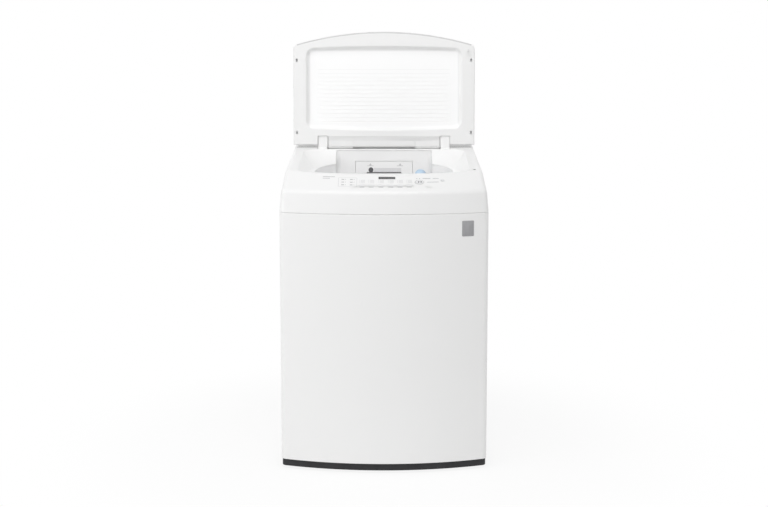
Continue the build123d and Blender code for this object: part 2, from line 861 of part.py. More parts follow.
# Dispenser housing: slanted wall behind the drum, with the drawer's compartment and the cap's bore
cavity_top = drawer_base + drawer_height + drawer_side_gap
cavity_floor = drawer_base - drawer_play
cavity_rear = drawer_rear + drawer_side_gap
with BuildPart() as dispenser_housing:
    with BuildSketch(Plane.YZ):
        with BuildLine():
            Polyline(
                (housing_foot, housing_floor),
                (housing_rear, housing_floor),
                (housing_rear, housing_shelf),
                (housing_neck - housing_fit, housing_shelf),
                (housing_neck - housing_fit, housing_top),
                (housing_top_y, housing_top),
                close=True,
            )
        make_face()
    extrude(amount=housing_half, both=True)
    with BuildSketch(Plane.YZ):
        with BuildLine():
            Polyline(
                (housing_foot - notch_reach, cavity_floor),
                (cavity_rear, cavity_floor),
                (cavity_rear, cavity_top),
                (housing_foot - notch_reach, cavity_top),
                close=True,
            )
        make_face()
    extrude(amount=drawer_half + drawer_side_gap, both=True, mode=Mode.SUBTRACT)
    side_width = housing_half - drawer_half - drawer_side_gap - 2 * housing_wall
    front_wall = cap_plug_length + 3 * housing_wall
    for side in (-1, 1):
        with BuildSketch(Plane.YZ.offset(side * (drawer_half + drawer_side_gap + housing_wall))):
            with BuildLine():
                Polyline(
                    (face_y(housing_floor) + front_wall, housing_floor),
                    (housing_rear - housing_wall, housing_floor),
                    (housing_rear - housing_wall, housing_shelf - housing_wall),
                    (face_y(housing_shelf) + front_wall, housing_shelf - housing_wall),
                    close=True,
                )
            make_face()
        extrude(amount=side * side_width, mode=Mode.SUBTRACT)
    with BuildSketch(Plane.XY.offset(housing_floor)):
        with Locations((0, housing_foot + drain_slot_set)):
            with GridLocations(drain_slot_pitch, 1, drain_slot_count, 1):
                SlotOverall(drain_slot_width, drain_slot_length)
    extrude(amount=cavity_floor - housing_floor, mode=Mode.SUBTRACT)
    with BuildSketch(face_plane(cap_x, cap_level)):
        Circle(cap_plug_radius + fit_gap)
    extrude(amount=-cap_plug_length - fit_gap - housing_wall, mode=Mode.SUBTRACT)
save(dispenser_housing, "dispenser_housing")

# Drawer with a slanted front, a finger slot and two compartments
drawer_top = drawer_base + drawer_height
body_top = drawer_base + drawer_body_height
with BuildPart() as dispenser_drawer:
    with BuildSketch(Plane.YZ):
        with BuildLine():
            Polyline(
                (face_y(drawer_base), drawer_base),
                (face_y(drawer_base) + drawer_front_plate, drawer_base),
                (face_y(drawer_top) + drawer_front_plate, drawer_top),
                (face_y(drawer_top), drawer_top),
                close=True,
            )
        make_face()
    extrude(amount=drawer_half, both=True)
    with BuildSketch(Plane.YZ):
        with BuildLine():
            Polyline(
                (face_y(drawer_base) + drawer_front_plate / 2, drawer_base),
                (drawer_rear, drawer_base),
                (drawer_rear, body_top),
                (face_y(body_top) + drawer_front_plate / 2, body_top),
                close=True,
            )
        make_face()
    extrude(amount=drawer_body_half, both=True)
    tray_floor = drawer_base + drawer_wall
    tray_width = drawer_body_half - drawer_wall - drawer_divider / 2
    for side in (-1, 1):
        with BuildSketch(Plane.YZ.offset(side * drawer_divider / 2)):
            with BuildLine():
                Polyline(
                    (face_y(tray_floor) + drawer_front_plate + drawer_wall, tray_floor),
                    (drawer_rear - drawer_wall, tray_floor),
                    (drawer_rear - drawer_wall, body_top),
                    (face_y(body_top) + drawer_front_plate + drawer_wall, body_top),
                    close=True,
                )
            make_face()
        extrude(amount=side * tray_width, mode=Mode.SUBTRACT)
    with BuildSketch(face_plane(0, drawer_base + drawer_slot_rise)):
        SlotOverall(2 * drawer_slot_half, drawer_slot_height)
    extrude(amount=-drawer_slot_depth, mode=Mode.SUBTRACT)
save(dispenser_drawer, "dispenser_drawer")

# Blue cap: a dome on a hollow plug
cap_plane = face_plane(cap_x, cap_level)
dome_radius = (cap_radius**2 + (cap_dome - cap_rim) ** 2) / (2 * (cap_dome - cap_rim))
with BuildPart() as softener_cap:
    with BuildSketch(Plane(origin=cap_plane.origin, x_dir=(1, 0, 0), z_dir=-cap_plane.y_dir)):
        with BuildLine():
            Polyline(
                (0, cap_dome),
                (0, cap_wall),
                (cap_plug_radius - cap_wall, cap_wall),
                (cap_plug_radius - cap_wall, -cap_plug_length),
                (cap_plug_radius, -cap_plug_length),
                (cap_plug_radius, fit_gap),
                (cap_radius, fit_gap),
                (cap_radius, cap_rim),
            )
            RadiusArc((cap_radius, cap_rim), (0, cap_dome), -dome_radius)
        make_face()
    revolve(axis=Axis(cap_plane.origin, cap_plane.z_dir))
save(softener_cap, "softener_cap")

# Dark display window
with BuildPart() as display_window:
    with BuildSketch(panel_plane(display_x, display_along).offset(-display_depth)):
        RectangleRounded(display_width, display_height, display_corner)
    extrude(amount=display_depth)
save(display_window, "display_window")

# Board under the panel with a post below each button
button_places = [(key_x, key_along) for key_x in key_places]
button_places += [(start_x, start_along), (power_x, power_along)]
collar_top = -moulding - fit_gap
stem_bottom = collar_top - button_collar_height - button_stem
with BuildPart() as control_board:
    with BuildSketch(board_plane):
        RectangleRounded(board_width, board_height, board_boss_radius)
    extrude(amount=-board_thickness)
    for button_x, button_along in button_places:
        post_top = panel_plane(button_x, button_along).offset(stem_bottom - button_travel - fit_gap).origin
        seat = board_plane.to_local_coords(post_top)
        with BuildSketch(board_plane):
            with Locations((seat.X, seat.Y)):
                Circle(board_post_radius)
        extrude(amount=seat.Z - fit_gap)
save(control_board, "control_board")

# Buttons: cap, collar that keeps it in the panel, and stem
for number, key_x in enumerate(key_places, 1):
    key_plane = panel_plane(key_x, key_along)
    with BuildPart() as key:
        with BuildSketch(key_plane.offset(button_proud)):
            RectangleRounded(key_width, key_height, key_corner)
        extrude(amount=collar_top - button_proud)
        with BuildSketch(key_plane.offset(collar_top)):
            Rectangle(key_width + 2 * button_collar, key_height + 2 * button_collar)
        extrude(amount=-button_collar_height)
        with BuildSketch(key_plane.offset(collar_top - button_collar_height)):
            Circle(button_stem_radius)
        extrude(amount=-button_stem)
    save(key, f"key_{number}")
for button_name, button_x, button_along, button_radius in (
    ("start_button", start_x, start_along, start_radius),
    ("power_button", power_x, power_along, power_radius),
):
    button_plane = panel_plane(button_x, button_along)
    with BuildPart() as button:
        with BuildSketch(button_plane.offset(button_proud)):
            Circle(button_radius)
        extrude(amount=collar_top - button_proud)
        with BuildSketch(button_plane.offset(collar_top)):
            Circle(button_radius + button_collar)
        extrude(amount=-button_collar_height)
        with BuildSketch(button_plane.offset(collar_top - button_collar_height)):
            Circle(button_stem_radius)
        extrude(amount=-button_stem)
    save(button, button_name)

# Main electronics in a finned box against the back wall
box_back = rear_y - moulding
with BuildPart() as control_box:
    with BuildSketch(Plane.XZ.offset(-box_back)):
        with Locations((box_x, box_level)):
            RectangleRounded(box_width, box_height, moulding)
    extrude(amount=box_depth)
    with BuildSketch(Plane.XZ.offset(-box_back + box_depth)):
        with Locations((box_x, box_level)):
            with GridLocations(box_width / box_fin_count, 1, box_fin_count, 1):
                Rectangle(box_width / box_fin_count / 2, box_height - 4 * moulding)
    extrude(amount=-box_fin_depth, mode=Mode.SUBTRACT)
save(control_box, "control_box")

# Twin water valve: body behind the pocket, two spigots in it and a coil under each
pocket_back = rear_y - inlet_pocket_depth - moulding
with BuildPart() as inlet_valve:
    with BuildSketch(Plane.XZ.offset(-pocket_back)):
        with Locations((inlet_x, inlet_level)):
            RectangleRounded(valve_width, valve_height, moulding)
    extrude(amount=valve_depth)
    with BuildSketch(Plane.XZ.offset(-pocket_back)):
        with Locations(*inlet_places):
            Circle(spigot_radius + spigot_collar)
    extrude(amount=-moulding)
    with BuildSketch(Plane.XZ.offset(-pocket_back - moulding)):
        with Locations(*inlet_places):
            Circle(spigot_radius)
    extrude(amount=-spigot_length)
    with BuildSketch(Plane.XZ.offset(-pocket_back - moulding - spigot_length)):
        with Locations(*inlet_places):
            Circle(spigot_bore)
    extrude(amount=spigot_length + moulding + valve_depth / 2, mode=Mode.SUBTRACT)
    with BuildSketch(Plane.XY.offset(inlet_level - valve_height / 2)):
        with Locations(*[(x, pocket_back - valve_depth / 2) for x, level in inlet_places]):
            Circle(coil_radius)
    extrude(amount=-coil_length)
save(inlet_valve, "inlet_valve")

# Lid lock under the right rail, with a socket for the strike
strike_v = lid_setback + lid_reach - strike_reach
with BuildPart() as lid_lock:
    with BuildSketch(deck_plane.offset(-moulding - lock_sink)):
        with Locations((strike_x, strike_v - lock_front)):
            Rectangle(lock_width, lock_length, align=(Align.CENTER, Align.MIN))
    extrude(amount=-lock_height)
    with BuildSketch(deck_plane.offset(-moulding)):
        with Locations((strike_x, strike_v - lock_front + lock_length)):
            Rectangle(lock_width, lock_tab, align=(Align.CENTER, Align.MAX))
    extrude(amount=-lock_sink)
    with BuildSketch(deck_plane.offset(-moulding - lock_sink)):
        with Locations((strike_x, strike_v)):
            Rectangle(strike_width + 2 * strike_play, 2 * strike_hook + 2 * strike_play)
    extrude(amount=-strike_drop, mode=Mode.SUBTRACT)
save(lid_lock, "lid_lock")

# Drain connection in a round cup, and the bushing of the power lead
panel_face = cabinet_rear + rear_sheet
with BuildPart() as drain_outlet:
    with BuildSketch(Plane.XZ.offset(-panel_face)):
        with Locations((drain_x, drain_level)):
            Circle(drain_cup_radius + drain_flange)
    extrude(amount=-drain_flange_thickness)
    with BuildSketch(Plane.XZ.offset(-panel_face)):
        with Locations((drain_x, drain_level)):
            Circle(drain_cup_radius)
    extrude(amount=drain_cup_depth)
    with BuildSketch(Plane.XZ.offset(-panel_face - drain_flange_thickness)):
        with Locations((drain_x, drain_level)):
            Circle(drain_cup_radius - drain_cup_wall)
            Circle(drain_spigot_radius, mode=Mode.SUBTRACT)
    extrude(amount=drain_flange_thickness + drain_cup_depth - drain_cup_wall, mode=Mode.SUBTRACT)
    with BuildSketch(Plane.XZ.offset(-panel_face - drain_flange_thickness)):
        with Locations((drain_x, drain_level)):
            Circle(drain_spigot_radius)
    extrude(
        amount=drain_flange_thickness + drain_cup_depth - drain_cup_wall - drain_spigot_length,
        mode=Mode.SUBTRACT,
    )
    with BuildSketch(Plane.XZ.offset(-panel_face + drain_cup_depth)):
        with Locations((drain_x, drain_level)):
            Circle(drain_spigot_radius)
    extrude(amount=drain_tail)
    with BuildSketch(Plane.XZ.offset(-panel_face - drain_flange_thickness)):
        with Locations((drain_x, drain_level)):
            Circle(drain_spigot_bore)
    extrude(amount=drain_flange_thickness + drain_cup_depth + drain_tail, mode=Mode.SUBTRACT)
save(drain_outlet, "drain_outlet")

with BuildPart() as power_gland:
    with BuildSketch(Plane.XZ.offset(-panel_face)):
        with Locations((gland_x, gland_level)):
            Circle(gland_radius + gland_flange)
    extrude(amount=-gland_flange_thickness)
    with BuildSketch(Plane.XZ.offset(-panel_face)):
        with Locations((gland_x, gland_level)):
            Circle(gland_radius)
    extrude(amount=gland_length)
    with BuildSketch(Plane.XZ.offset(-panel_face - gland_flange_thickness)):
        with Locations((gland_x, gland_level)):
            Circle(gland_bore)
    extrude(amount=gland_length + gland_flange_thickness, mode=Mode.SUBTRACT)
save(power_gland, "power_gland")


# Lid, standing open on the hinge
def lid_outline(inset, notch_grow):
    """Plan of the lid: bowed front edge, notches for the hinge arms and a tongue between them."""
    half = lid_half - inset
    side = lid_reach - lid_bow - inset
    heel = lid_heel + inset
    with BuildSketch() as outline:
        with BuildLine():
            Polyline((-half, side), (-half, heel), (half, heel), (half, side))
            ThreePointArc((half, side), (0, lid_reach - inset), (-half, side))
        make_face()
        fillet(outline.vertices().sort_by(Axis.Y)[-2:], lid_corner - inset)
        with Locations((0, lid_tongue_heel + inset)):
            Rectangle(
                2 * (lid_tongue_half - inset),
                lid_heel,
                align=(Align.CENTER, Align.MIN),
            )
        with Locations(*[(side_sign * arm_x, lid_notch_depth + notch_grow) for side_sign in (-1, 1)]):
            Rectangle(
                lid_notch_width + 2 * notch_grow,
                lid_notch_depth + 2 * notch_grow,
                align=(Align.CENTER, Align.MAX),
                mode=Mode.SUBTRACT,
            )
    return outline.sketch


def pan_outline(grow):
    """Outline of the lid's dished middle."""
    half = pan_half + grow
    with BuildSketch() as outline:
        with BuildLine():
            Polyline((half, pan_low - grow), (half, pan_high + grow))
            ThreePointArc((half, pan_high + grow), (0, pan_high + pan_bow + grow), (-half, pan_high + grow))
            Polyline((-half, pan_high + grow), (-half, pan_low - grow))
            ThreePointArc((-half, pan_low - grow), (0, pan_low - pan_bow - grow), (half, pan_low - grow))
        make_face()
        fillet(outline.vertices(), pan_corner + grow)
    return outline.sketch


def pan_edges(piece, level):
    """Edges of the dished middle at a level of the lid."""
    places = [(edge, lid_plane.to_local_coords(edge @ 0.5)) for edge in piece.edges()]
    return [
        edge
        for edge, place in places
        if abs(place.Z - level) < fit_gap
        and abs(place.X) < pan_half + pan_edge_radius
        and pan_low - 2 * pan_bow < place.Y < pan_high + 2 * pan_bow
    ]


liner_back = lid_inner_face - liner_plate
skin_inside = lid_outer_face + lid_skin
boss_top = liner_back - screw_boss_gap
lid_screw_places = [
    (side * (lid_half - liner_screw_side), place)
    for side in (-1, 1)
    for place in (liner_screw_low, lid_reach - liner_screw_front)
]
with BuildPart() as lid_outer:
    with BuildSketch(lid_plane.offset(lid_outer_face)):
        add(lid_outline(0, 0))
    extrude(amount=liner_back - lid_outer_face)
    skin_face = lid_outer.faces().sort_by(Axis(lid_plane.origin, lid_plane.z_dir))[0]
    brim = skin_face.edges().filter_by(
        lambda edge: lid_plane.to_local_coords(edge @ 0.5).Y > lid_notch_depth + lid_notch_width
    )
    fillet(brim, lid_edge_radius)
    with BuildSketch(lid_plane.offset(skin_inside)):
        add(lid_outline(lid_skin, lid_skin))
    extrude(amount=liner_back - skin_inside, mode=Mode.SUBTRACT)
    with BuildSketch(lid_plane.offset(skin_inside)):
        with Locations((-arm_x, lid_notch_depth), (arm_x, lid_notch_depth)):
            Rectangle(arm_width + 2 * liner_gap, 4 * lid_skin)
    extrude(amount=liner_back - skin_inside, mode=Mode.SUBTRACT)
    with BuildSketch(lid_plane.offset(skin_inside)):
        with Locations(*lid_screw_places):
            Circle(screw_boss_radius)
    extrude(amount=boss_top - skin_inside)
    with BuildSketch(lid_plane.offset(boss_top)):
        with Locations(*lid_screw_places):
            Circle(screw_shank_radius + pin_fit)
    extrude(amount=-screw_shank_length - pin_fit, mode=Mode.SUBTRACT)
save(lid_outer, "lid_outer")

with BuildPart() as lid_inner:
    with BuildSketch(lid_plane.offset(liner_back)):
        add(lid_outline(liner_inset, liner_inset))
        with Locations((0, tongue_step)):
            Rectangle(2 * lid_tongue_half, tongue_step, align=(Align.CENTER, Align.MAX), mode=Mode.SUBTRACT)
    extrude(amount=liner_plate)
    tongue_half = lid_tongue_half - lid_skin - liner_gap
    tongue_top = lid_inner_face - tongue_sink
    with BuildSketch(lid_plane.offset(tongue_top - tongue_plate)):
        with Locations((0, tongue_step + tongue_plate)):
            Rectangle(
                2 * tongue_half,
                tongue_step + tongue_plate - lid_tongue_heel - lid_skin - liner_gap,
                align=(Align.CENTER, Align.MAX),
            )
    extrude(amount=tongue_plate)
    with BuildSketch(lid_plane.offset(tongue_top - tongue_plate)):
        with Locations((0, tongue_step)):
            Rectangle(2 * tongue_half, tongue_plate, align=(Align.CENTER, Align.MIN))
    extrude(amount=tongue_plate + tongue_sink)
    with BuildSketch(lid_plane.offset(tongue_top)):
        with Locations((0, tongue_step)):
            Rectangle(
                2 * tongue_middle,
                tongue_step - lid_tongue_heel - lid_skin - liner_gap,
                align=(Align.CENTER, Align.MAX),
            )
    extrude(amount=tongue_raise)
    with BuildSketch(lid_plane.offset(lid_inner_face)):
        add(pan_outline(liner_plate))
    extrude(amount=-pan_depth - liner_plate, taper=pan_slope)
    with BuildSketch(lid_plane.offset(lid_inner_face)):
        add(pan_outline(0))
    extrude(amount=-pan_depth, taper=pan_slope, mode=Mode.SUBTRACT)
    fillet(pan_edges(lid_inner, lid_inner_face), pan_edge_radius)
    fillet(pan_edges(lid_inner, lid_inner_face - pan_depth), pan_floor_radius)
    with BuildSketch(lid_plane.offset(lid_inner_face - pan_depth)):
        with Locations((0, pan_low + pan_rib_low + pan_rib_pitch * (pan_rib_count - 1) / 2)):
            with GridLocations(1, pan_rib_pitch, 1, pan_rib_count):
                Rectangle(2 * pan_rib_half, pan_rib_width)
    extrude(amount=pan_rib_height)
    with BuildSketch(lid_plane.offset(lid_inner_face)):
        with Locations(*lid_screw_places):
            SlotOverall(liner_slot_length, liner_slot_width, rotation=90)
    extrude(amount=-liner_plate, mode=Mode.SUBTRACT)
save(lid_inner, "lid_inner")

with BuildPart() as lid_screws:
    with BuildSketch(lid_plane.offset(boss_top)):
        with Locations(*lid_screw_places):
            Circle(screw_head_radius)
    extrude(amount=screw_head_height)
    with BuildSketch(lid_plane.offset(boss_top)):
        with Locations(*lid_screw_places):
            Circle(screw_shank_radius)
    extrude(amount=-screw_shank_length)
save(lid_screws, "lid_screws")

with BuildPart() as lid_strike:
    with BuildSketch(lid_plane.offset(lid_inner_face)):
        with Locations((strike_x, strike_reach)):
            Rectangle(strike_width, strike_plate)
    extrude(amount=strike_drop)
    with BuildSketch(lid_plane.offset(lid_inner_face + strike_drop - strike_plate)):
        with Locations((strike_x, strike_reach)):
            Rectangle(strike_width, strike_hook, align=(Align.CENTER, Align.MIN))
    extrude(amount=strike_plate)
save(lid_strike, "lid_strike")

arm_plane = Plane(origin=lid_plane.origin, x_dir=lid_plane.y_dir, z_dir=(1, 0, 0))
with BuildPart() as lid_hinges:
    for side in (-1, 1):
        with BuildSketch(arm_plane.offset(side * arm_x - arm_width / 2)):
            Circle(knuckle_radius)
            with BuildLine():
                Polyline(
                    (-knuckle_radius / 2, -knuckle_radius),
                    (knuckle_radius, lid_inner_face - liner_plate / 2),
                    (lid_notch_depth - liner_plate, liner_back - liner_gap),
                    (arm_length, liner_back - liner_gap),
                    (arm_length, skin_inside),
                    (lid_notch_depth + lid_skin + liner_gap, skin_inside),
                    (lid_notch_depth - knuckle_radius, skin_inside + knuckle_radius),
                    (0, -2 * knuckle_radius),
                    close=True,
                )
            make_face()
            Circle(hinge_pin_radius + fit_gap, mode=Mode.SUBTRACT)
        extrude(amount=arm_width)
save(lid_hinges, "lid_hinges")

# Brackets in the corners of the cabinet, and the rods that hang from them
with BuildPart() as corner_brackets:
    with BuildSketch(Plane.XY.offset(bracket_level)):
        with Locations(*rod_places):
            Rectangle(width, 2 * bracket_reach)
        with Locations((0, tub_y)):
            Rectangle(2 * (rod_x - bracket_reach), depth, mode=Mode.SUBTRACT)
        add(footprint(sheet + bracket_gap, cabinet_rear - sheet - bracket_gap), mode=Mode.INTERSECT)
        with Locations(*rod_places):
            Circle(rod_radius + bracket_hole_gap, mode=Mode.SUBTRACT)
    extrude(amount=bracket_plate)
    with BuildSketch(Plane.XY.offset(bracket_level)):
        with Locations(*rod_places):
            Rectangle(width, 2 * bracket_reach)
        with Locations((0, tub_y)):
            Rectangle(2 * (rod_x - bracket_reach), depth, mode=Mode.SUBTRACT)
        add(footprint(sheet + bracket_gap, cabinet_rear - sheet - bracket_gap), mode=Mode.INTERSECT)
        with Locations((0, tub_y)):
            Rectangle(width - 2 * (sheet + bracket_gap + bracket_plate), depth, mode=Mode.SUBTRACT)
    extrude(amount=-bracket_lip)
save(corner_brackets, "corner_brackets")

with BuildPart() as suspension_rods:
    with BuildSketch(Plane.XY.offset(rod_bottom)):
        with Locations(*rod_places):
            Circle(rod_radius)
    extrude(amount=rod_top - rod_bottom)
    with BuildSketch(Plane.XY.offset(bracket_level + bracket_plate)):
        with Locations(*rod_places):
            Circle(rod_ball_radius)
    extrude(amount=rod_top - bracket_level - bracket_plate, taper=rod_ball_slope)
    with BuildSketch(Plane.XY.offset(rod_bottom)):
        with Locations(*rod_places):
            Circle(rod_seat_radius)
    extrude(amount=rod_seat_height)
save(suspension_rods, "suspension_rods")

# Outer tub with four lugs over the damper cups
tub_axis = Axis((0, tub_y, 0), (0, 0, 1))
tub_side = Plane(origin=(0, tub_y, 0), x_dir=(1, 0, 0), z_dir=(0, -1, 0))
tub_outer = tub_radius + tub_wall
nose_radius = housing_hub_radius
with BuildPart() as outer_tub:
    with BuildSketch(tub_side):
        with BuildLine():
            Polyline(
                (nose_radius + fit_gap, tub_under),
                (tub_outer, tub_under),
                (tub_outer, tub_top),
                (tub_radius, tub_top),
                (tub_radius, tub_floor),
                (nose_radius + fit_gap, tub_floor),
                close=True,
            )
        make_face()
    revolve(axis=tub_axis)
    fillet(outer_tub.edges().filter_by(GeomType.CIRCLE).sort_by(Axis.Z)[0:1], tub_floor_wall / 2)
    for rod_place_x, rod_place_y in rod_places:
        reach = sqrt(rod_place_x**2 + (rod_place_y - tub_y) ** 2)
        lug_plane = Plane(
            origin=(0, tub_y, lug_level),
            x_dir=(rod_place_x / reach, (rod_place_y - tub_y) / reach, 0),
            z_dir=(0, 0, 1),
        )
        with BuildSketch(lug_plane):
            with Locations((reach, 0)):
                Circle(lug_end_radius)
            with Locations((tub_radius + tub_wall / 2, 0)):
                Rectangle(reach - tub_radius - tub_wall / 2, lug_width, align=(Align.MIN, Align.CENTER))
            with Locations((reach, 0)):
                Circle(lug_hole_radius, mode=Mode.SUBTRACT)
        extrude(amount=lug_height)
save(outer_tub, "outer_tub")

with BuildPart() as damper_cups:
    with BuildSketch(Plane.XY.offset(lug_level - cup_height)):
        with Locations(*rod_places):
            Circle(cup_radius)
    extrude(amount=cup_height)
    with BuildSketch(Plane.XY.offset(lug_level - cup_height)):
        with Locations(*rod_places):
            Circle(rod_radius + cup_neck_gap)
    extrude(amount=cup_height, mode=Mode.SUBTRACT)
    with BuildSketch(Plane.XY.offset(lug_level - cup_height)):
        with Locations(*rod_places):
            Circle(cup_radius - cup_wall)
    extrude(amount=cup_height - 2 * cup_wall, mode=Mode.SUBTRACT)
save(damper_cups, "damper_cups")

with BuildPart() as suspension_springs:
    with BuildSketch(Plane.XY.offset(rod_bottom + rod_seat_height)):
        with Locations(*rod_places):
            Circle(spring_outer)
            Circle(spring_inner, mode=Mode.SUBTRACT)
    extrude(amount=lug_level - 2 * cup_wall - rod_bottom - rod_seat_height)
save(suspension_springs, "suspension_springs")

with BuildPart() as tub_cover:
    with BuildSketch(tub_side):
        with BuildLine():
            Polyline(
                (tub_outer + tub_cover_wall / 2, tub_top),
                (tub_outer + tub_cover_wall / 2, tub_top + tub_cover_wall),
                (tub_cover_inner + tub_cover_lip, tub_top + tub_cover_rise),
                (tub_cover_inner, tub_top + tub_cover_rise),
                (tub_cover_inner, tub_top + tub_cover_rise - tub_cover_lip),
                (tub_cover_inner + tub_cover_wall, tub_top + tub_cover_rise - tub_cover_lip),
                (tub_cover_inner + tub_cover_wall, tub_top + tub_cover_rise - tub_cover_wall),
                (tub_radius - tub_cover_lip, tub_top),
                close=True,
            )
        make_face()
    revolve(axis=tub_axis)
save(tub_cover, "tub_cover")

# Bearing housing under the tub, its bearings, seal and the stator
flange_bottom = tub_under - housing_flange_height
stator_top = stator_level + stator_height
upper_bearing_top = upper_bearing_level + upper_bearing_height
with BuildPart() as bearing_housing:
    with BuildSketch(tub_side):
        with BuildLine():
            Polyline(
                (spin_radius + 2 * fit_gap, housing_bottom + lower_bearing_height),
                (lower_bearing_radius + bearing_fit, housing_bottom + lower_bearing_height),
                (lower_bearing_radius + bearing_fit, housing_bottom),
                (housing_hub_radius, housing_bottom),
                (housing_hub_radius, stator_top),
                (housing_pedestal_radius, stator_top),
                (housing_pedestal_radius, flange_bottom),
                (housing_flange_radius, flange_bottom),
                (housing_flange_radius, tub_under),
                (housing_hub_radius, tub_under),
                (housing_hub_radius, housing_nose_top),
                (upper_bearing_radius + bearing_fit, housing_nose_top),
                (upper_bearing_radius + bearing_fit, upper_bearing_level),
                (spin_radius + 2 * fit_gap, upper_bearing_level),
                close=True,
            )
        make_face()
    revolve(axis=tub_axis)
    with BuildSketch(Plane.XY.offset(stator_top + stator_height / 4)):
        with Locations((0, tub_y)):
            with PolarLocations(0, housing_rib_count):
                with Locations((housing_pedestal_radius - housing_rib_width, 0)):
                    Rectangle(
                        housing_flange_radius - housing_pedestal_radius,
                        housing_rib_width,
                        align=(Align.MIN, Align.CENTER),
                    )
    extrude(amount=flange_bottom - stator_top - stator_height / 4 + housing_flange_height / 2)
save(bearing_housing, "bearing_housing")

for bearing_name, bearing_level, bearing_height, bearing_radius in (
    ("upper_bearing", upper_bearing_level, upper_bearing_height, upper_bearing_radius),
    ("lower_bearing", housing_bottom, lower_bearing_height, lower_bearing_radius),
):
    with BuildPart() as bearing:
        with BuildSketch(Plane.XY.offset(bearing_level)):
            with Locations((0, tub_y)):
                Circle(bearing_radius)
                Circle(spin_radius + shaft_gap, mode=Mode.SUBTRACT)
        extrude(amount=bearing_height)
    save(bearing, bearing_name)

with BuildPart() as shaft_seal:
    with BuildSketch(tub_side):
        with BuildLine():
            Polyline(
                (spin_radius + shaft_gap, upper_bearing_top + seal_height),
                (spin_radius + shaft_gap, upper_bearing_top + seal_height / 2),
                (seal_radius - seal_height, upper_bearing_top + seal_height / 2),
                (seal_radius - seal_height, upper_bearing_top),
                (upper_bearing_radius, upper_bearing_top),
                (upper_bearing_radius, upper_bearing_top + seal_height),
                close=True,
            )
        make_face()
    revolve(axis=tub_axis)
save(shaft_seal, "shaft_seal")

with BuildPart() as stator:
    with BuildSketch(Plane.XY.offset(stator_level)):
        with Locations((0, tub_y)):
            Circle(stator_yoke_radius)
            with PolarLocations(0, stator_pole_count):
                with Locations((stator_yoke_radius - stator_pole_width, 0)):
                    Rectangle(
                        stator_radius - stator_yoke_radius,
                        stator_pole_width,
                        align=(Align.MIN, Align.CENTER),
                    )
                with Locations((stator_radius - stator_tip_depth - stator_pole_width / 2, 0)):
                    Rectangle(stator_tip_depth, stator_tip_width, align=(Align.MIN, Align.CENTER))
            Circle(housing_hub_radius + fit_gap, mode=Mode.SUBTRACT)
    extrude(amount=stator_height)
save(stator, "stator")

with BuildPart() as drain_pump:
    with BuildSketch(Plane.XY.offset(tub_under)):
        with Locations((pump_x, pump_y)):
            Circle(pump_radius)
    extrude(amount=-pump_height)
    with BuildSketch(Plane.XY.offset(tub_under - pump_height)):
        with Locations((pump_x, pump_y)):
            Circle(pump_motor_radius)
    extrude(amount=-pump_motor_height)
    with BuildSketch(Plane.XZ.offset(-pump_y)):
        with Locations((pump_x, tub_under - pump_height / 2)):
            Circle(pump_spigot_radius)
    extrude(amount=-pump_spigot_reach)
    with BuildSketch(Plane.XZ.offset(-pump_y - pump_spigot_reach)):
        with Locations((pump_x, tub_under - pump_height / 2)):
            Circle(pump_spigot_bore)
    extrude(amount=pump_spigot_reach / 2, mode=Mode.SUBTRACT)
save(drain_pump, "drain_pump")

# Drum: perforated wall, moulded base, balance ring, spider and hollow shaft
drum_outer = drum_radius + drum_wall_thickness
with BuildPart() as drum_wall:
    with BuildSketch(Plane.XY.offset(drum_floor)):
        with Locations((0, tub_y)):
            Circle(drum_outer)
            Circle(drum_radius, mode=Mode.SUBTRACT)
    extrude(amount=drum_top - drum_floor)
    for row in range(drum_hole_rows):
        for column in range(drum_hole_columns // 2):
            turn = pi * (column + row % 2 / 2) / (drum_hole_columns / 2)
            hole_plane = Plane(
                origin=(0, tub_y, drum_floor + drum_hole_low + row * drum_hole_pitch),
                x_dir=(-sin(turn), cos(turn), 0),
                z_dir=(cos(turn), sin(turn), 0),
            )
            with BuildSketch(hole_plane):
                Circle(drum_hole_radius)
            extrude(amount=2 * drum_radius, both=True, mode=Mode.SUBTRACT)
save(drum_wall, "drum_wall")

hub_bore = spin_radius + bearing_fit
with BuildPart() as drum_base:
    with BuildSketch(tub_side):
        with BuildLine():
            Polyline(
                (hub_bore, drum_floor),
                (drum_radius - drum_rim_gap, drum_floor),
                (drum_radius - drum_rim_gap, drum_floor + drum_base_lip),
                (drum_radius - drum_rim_gap - drum_base_wall, drum_floor + drum_base_lip),
                (plate_radius + plate_gap, drum_floor + drum_base_wall),
                (hub_bore, drum_floor + drum_base_wall),
                close=True,
            )
        make_face()
    revolve(axis=tub_axis)
save(drum_base, "drum_base")

with BuildPart() as balance_ring:
    with BuildSketch(tub_side):
        with BuildLine():
            Polyline(
                (drum_outer + ring_lip, ring_top - ring_height),
                (drum_outer + ring_lip, ring_top),
                (ring_inner, ring_top),
                (ring_inner, ring_top - ring_height),
                (drum_radius - drum_rim_gap, ring_top - ring_height),
                (drum_radius - drum_rim_gap, drum_top),
                (drum_outer + drum_rim_gap, drum_top),
                (drum_outer + drum_rim_gap, ring_top - ring_height),
                close=True,
            )
        make_face()
    revolve(axis=tub_axis)
    chamfer(balance_ring.edges().group_by(Axis.Z)[-1].sort_by(SortBy.LENGTH)[0], ring_bevel)
save(balance_ring, "balance_ring")

with BuildPart() as hub_flange:
    with BuildSketch(Plane.XY.offset(drum_floor)):
        with Locations((0, tub_y)):
            Circle(hub_boss_radius)
            with PolarLocations(0, hub_arm_count):
                Rectangle(hub_radius, hub_arm_width, align=(Align.MIN, Align.CENTER))
            Circle(hub_bore, mode=Mode.SUBTRACT)
    extrude(amount=-hub_height)
save(hub_flange, "hub_flange")

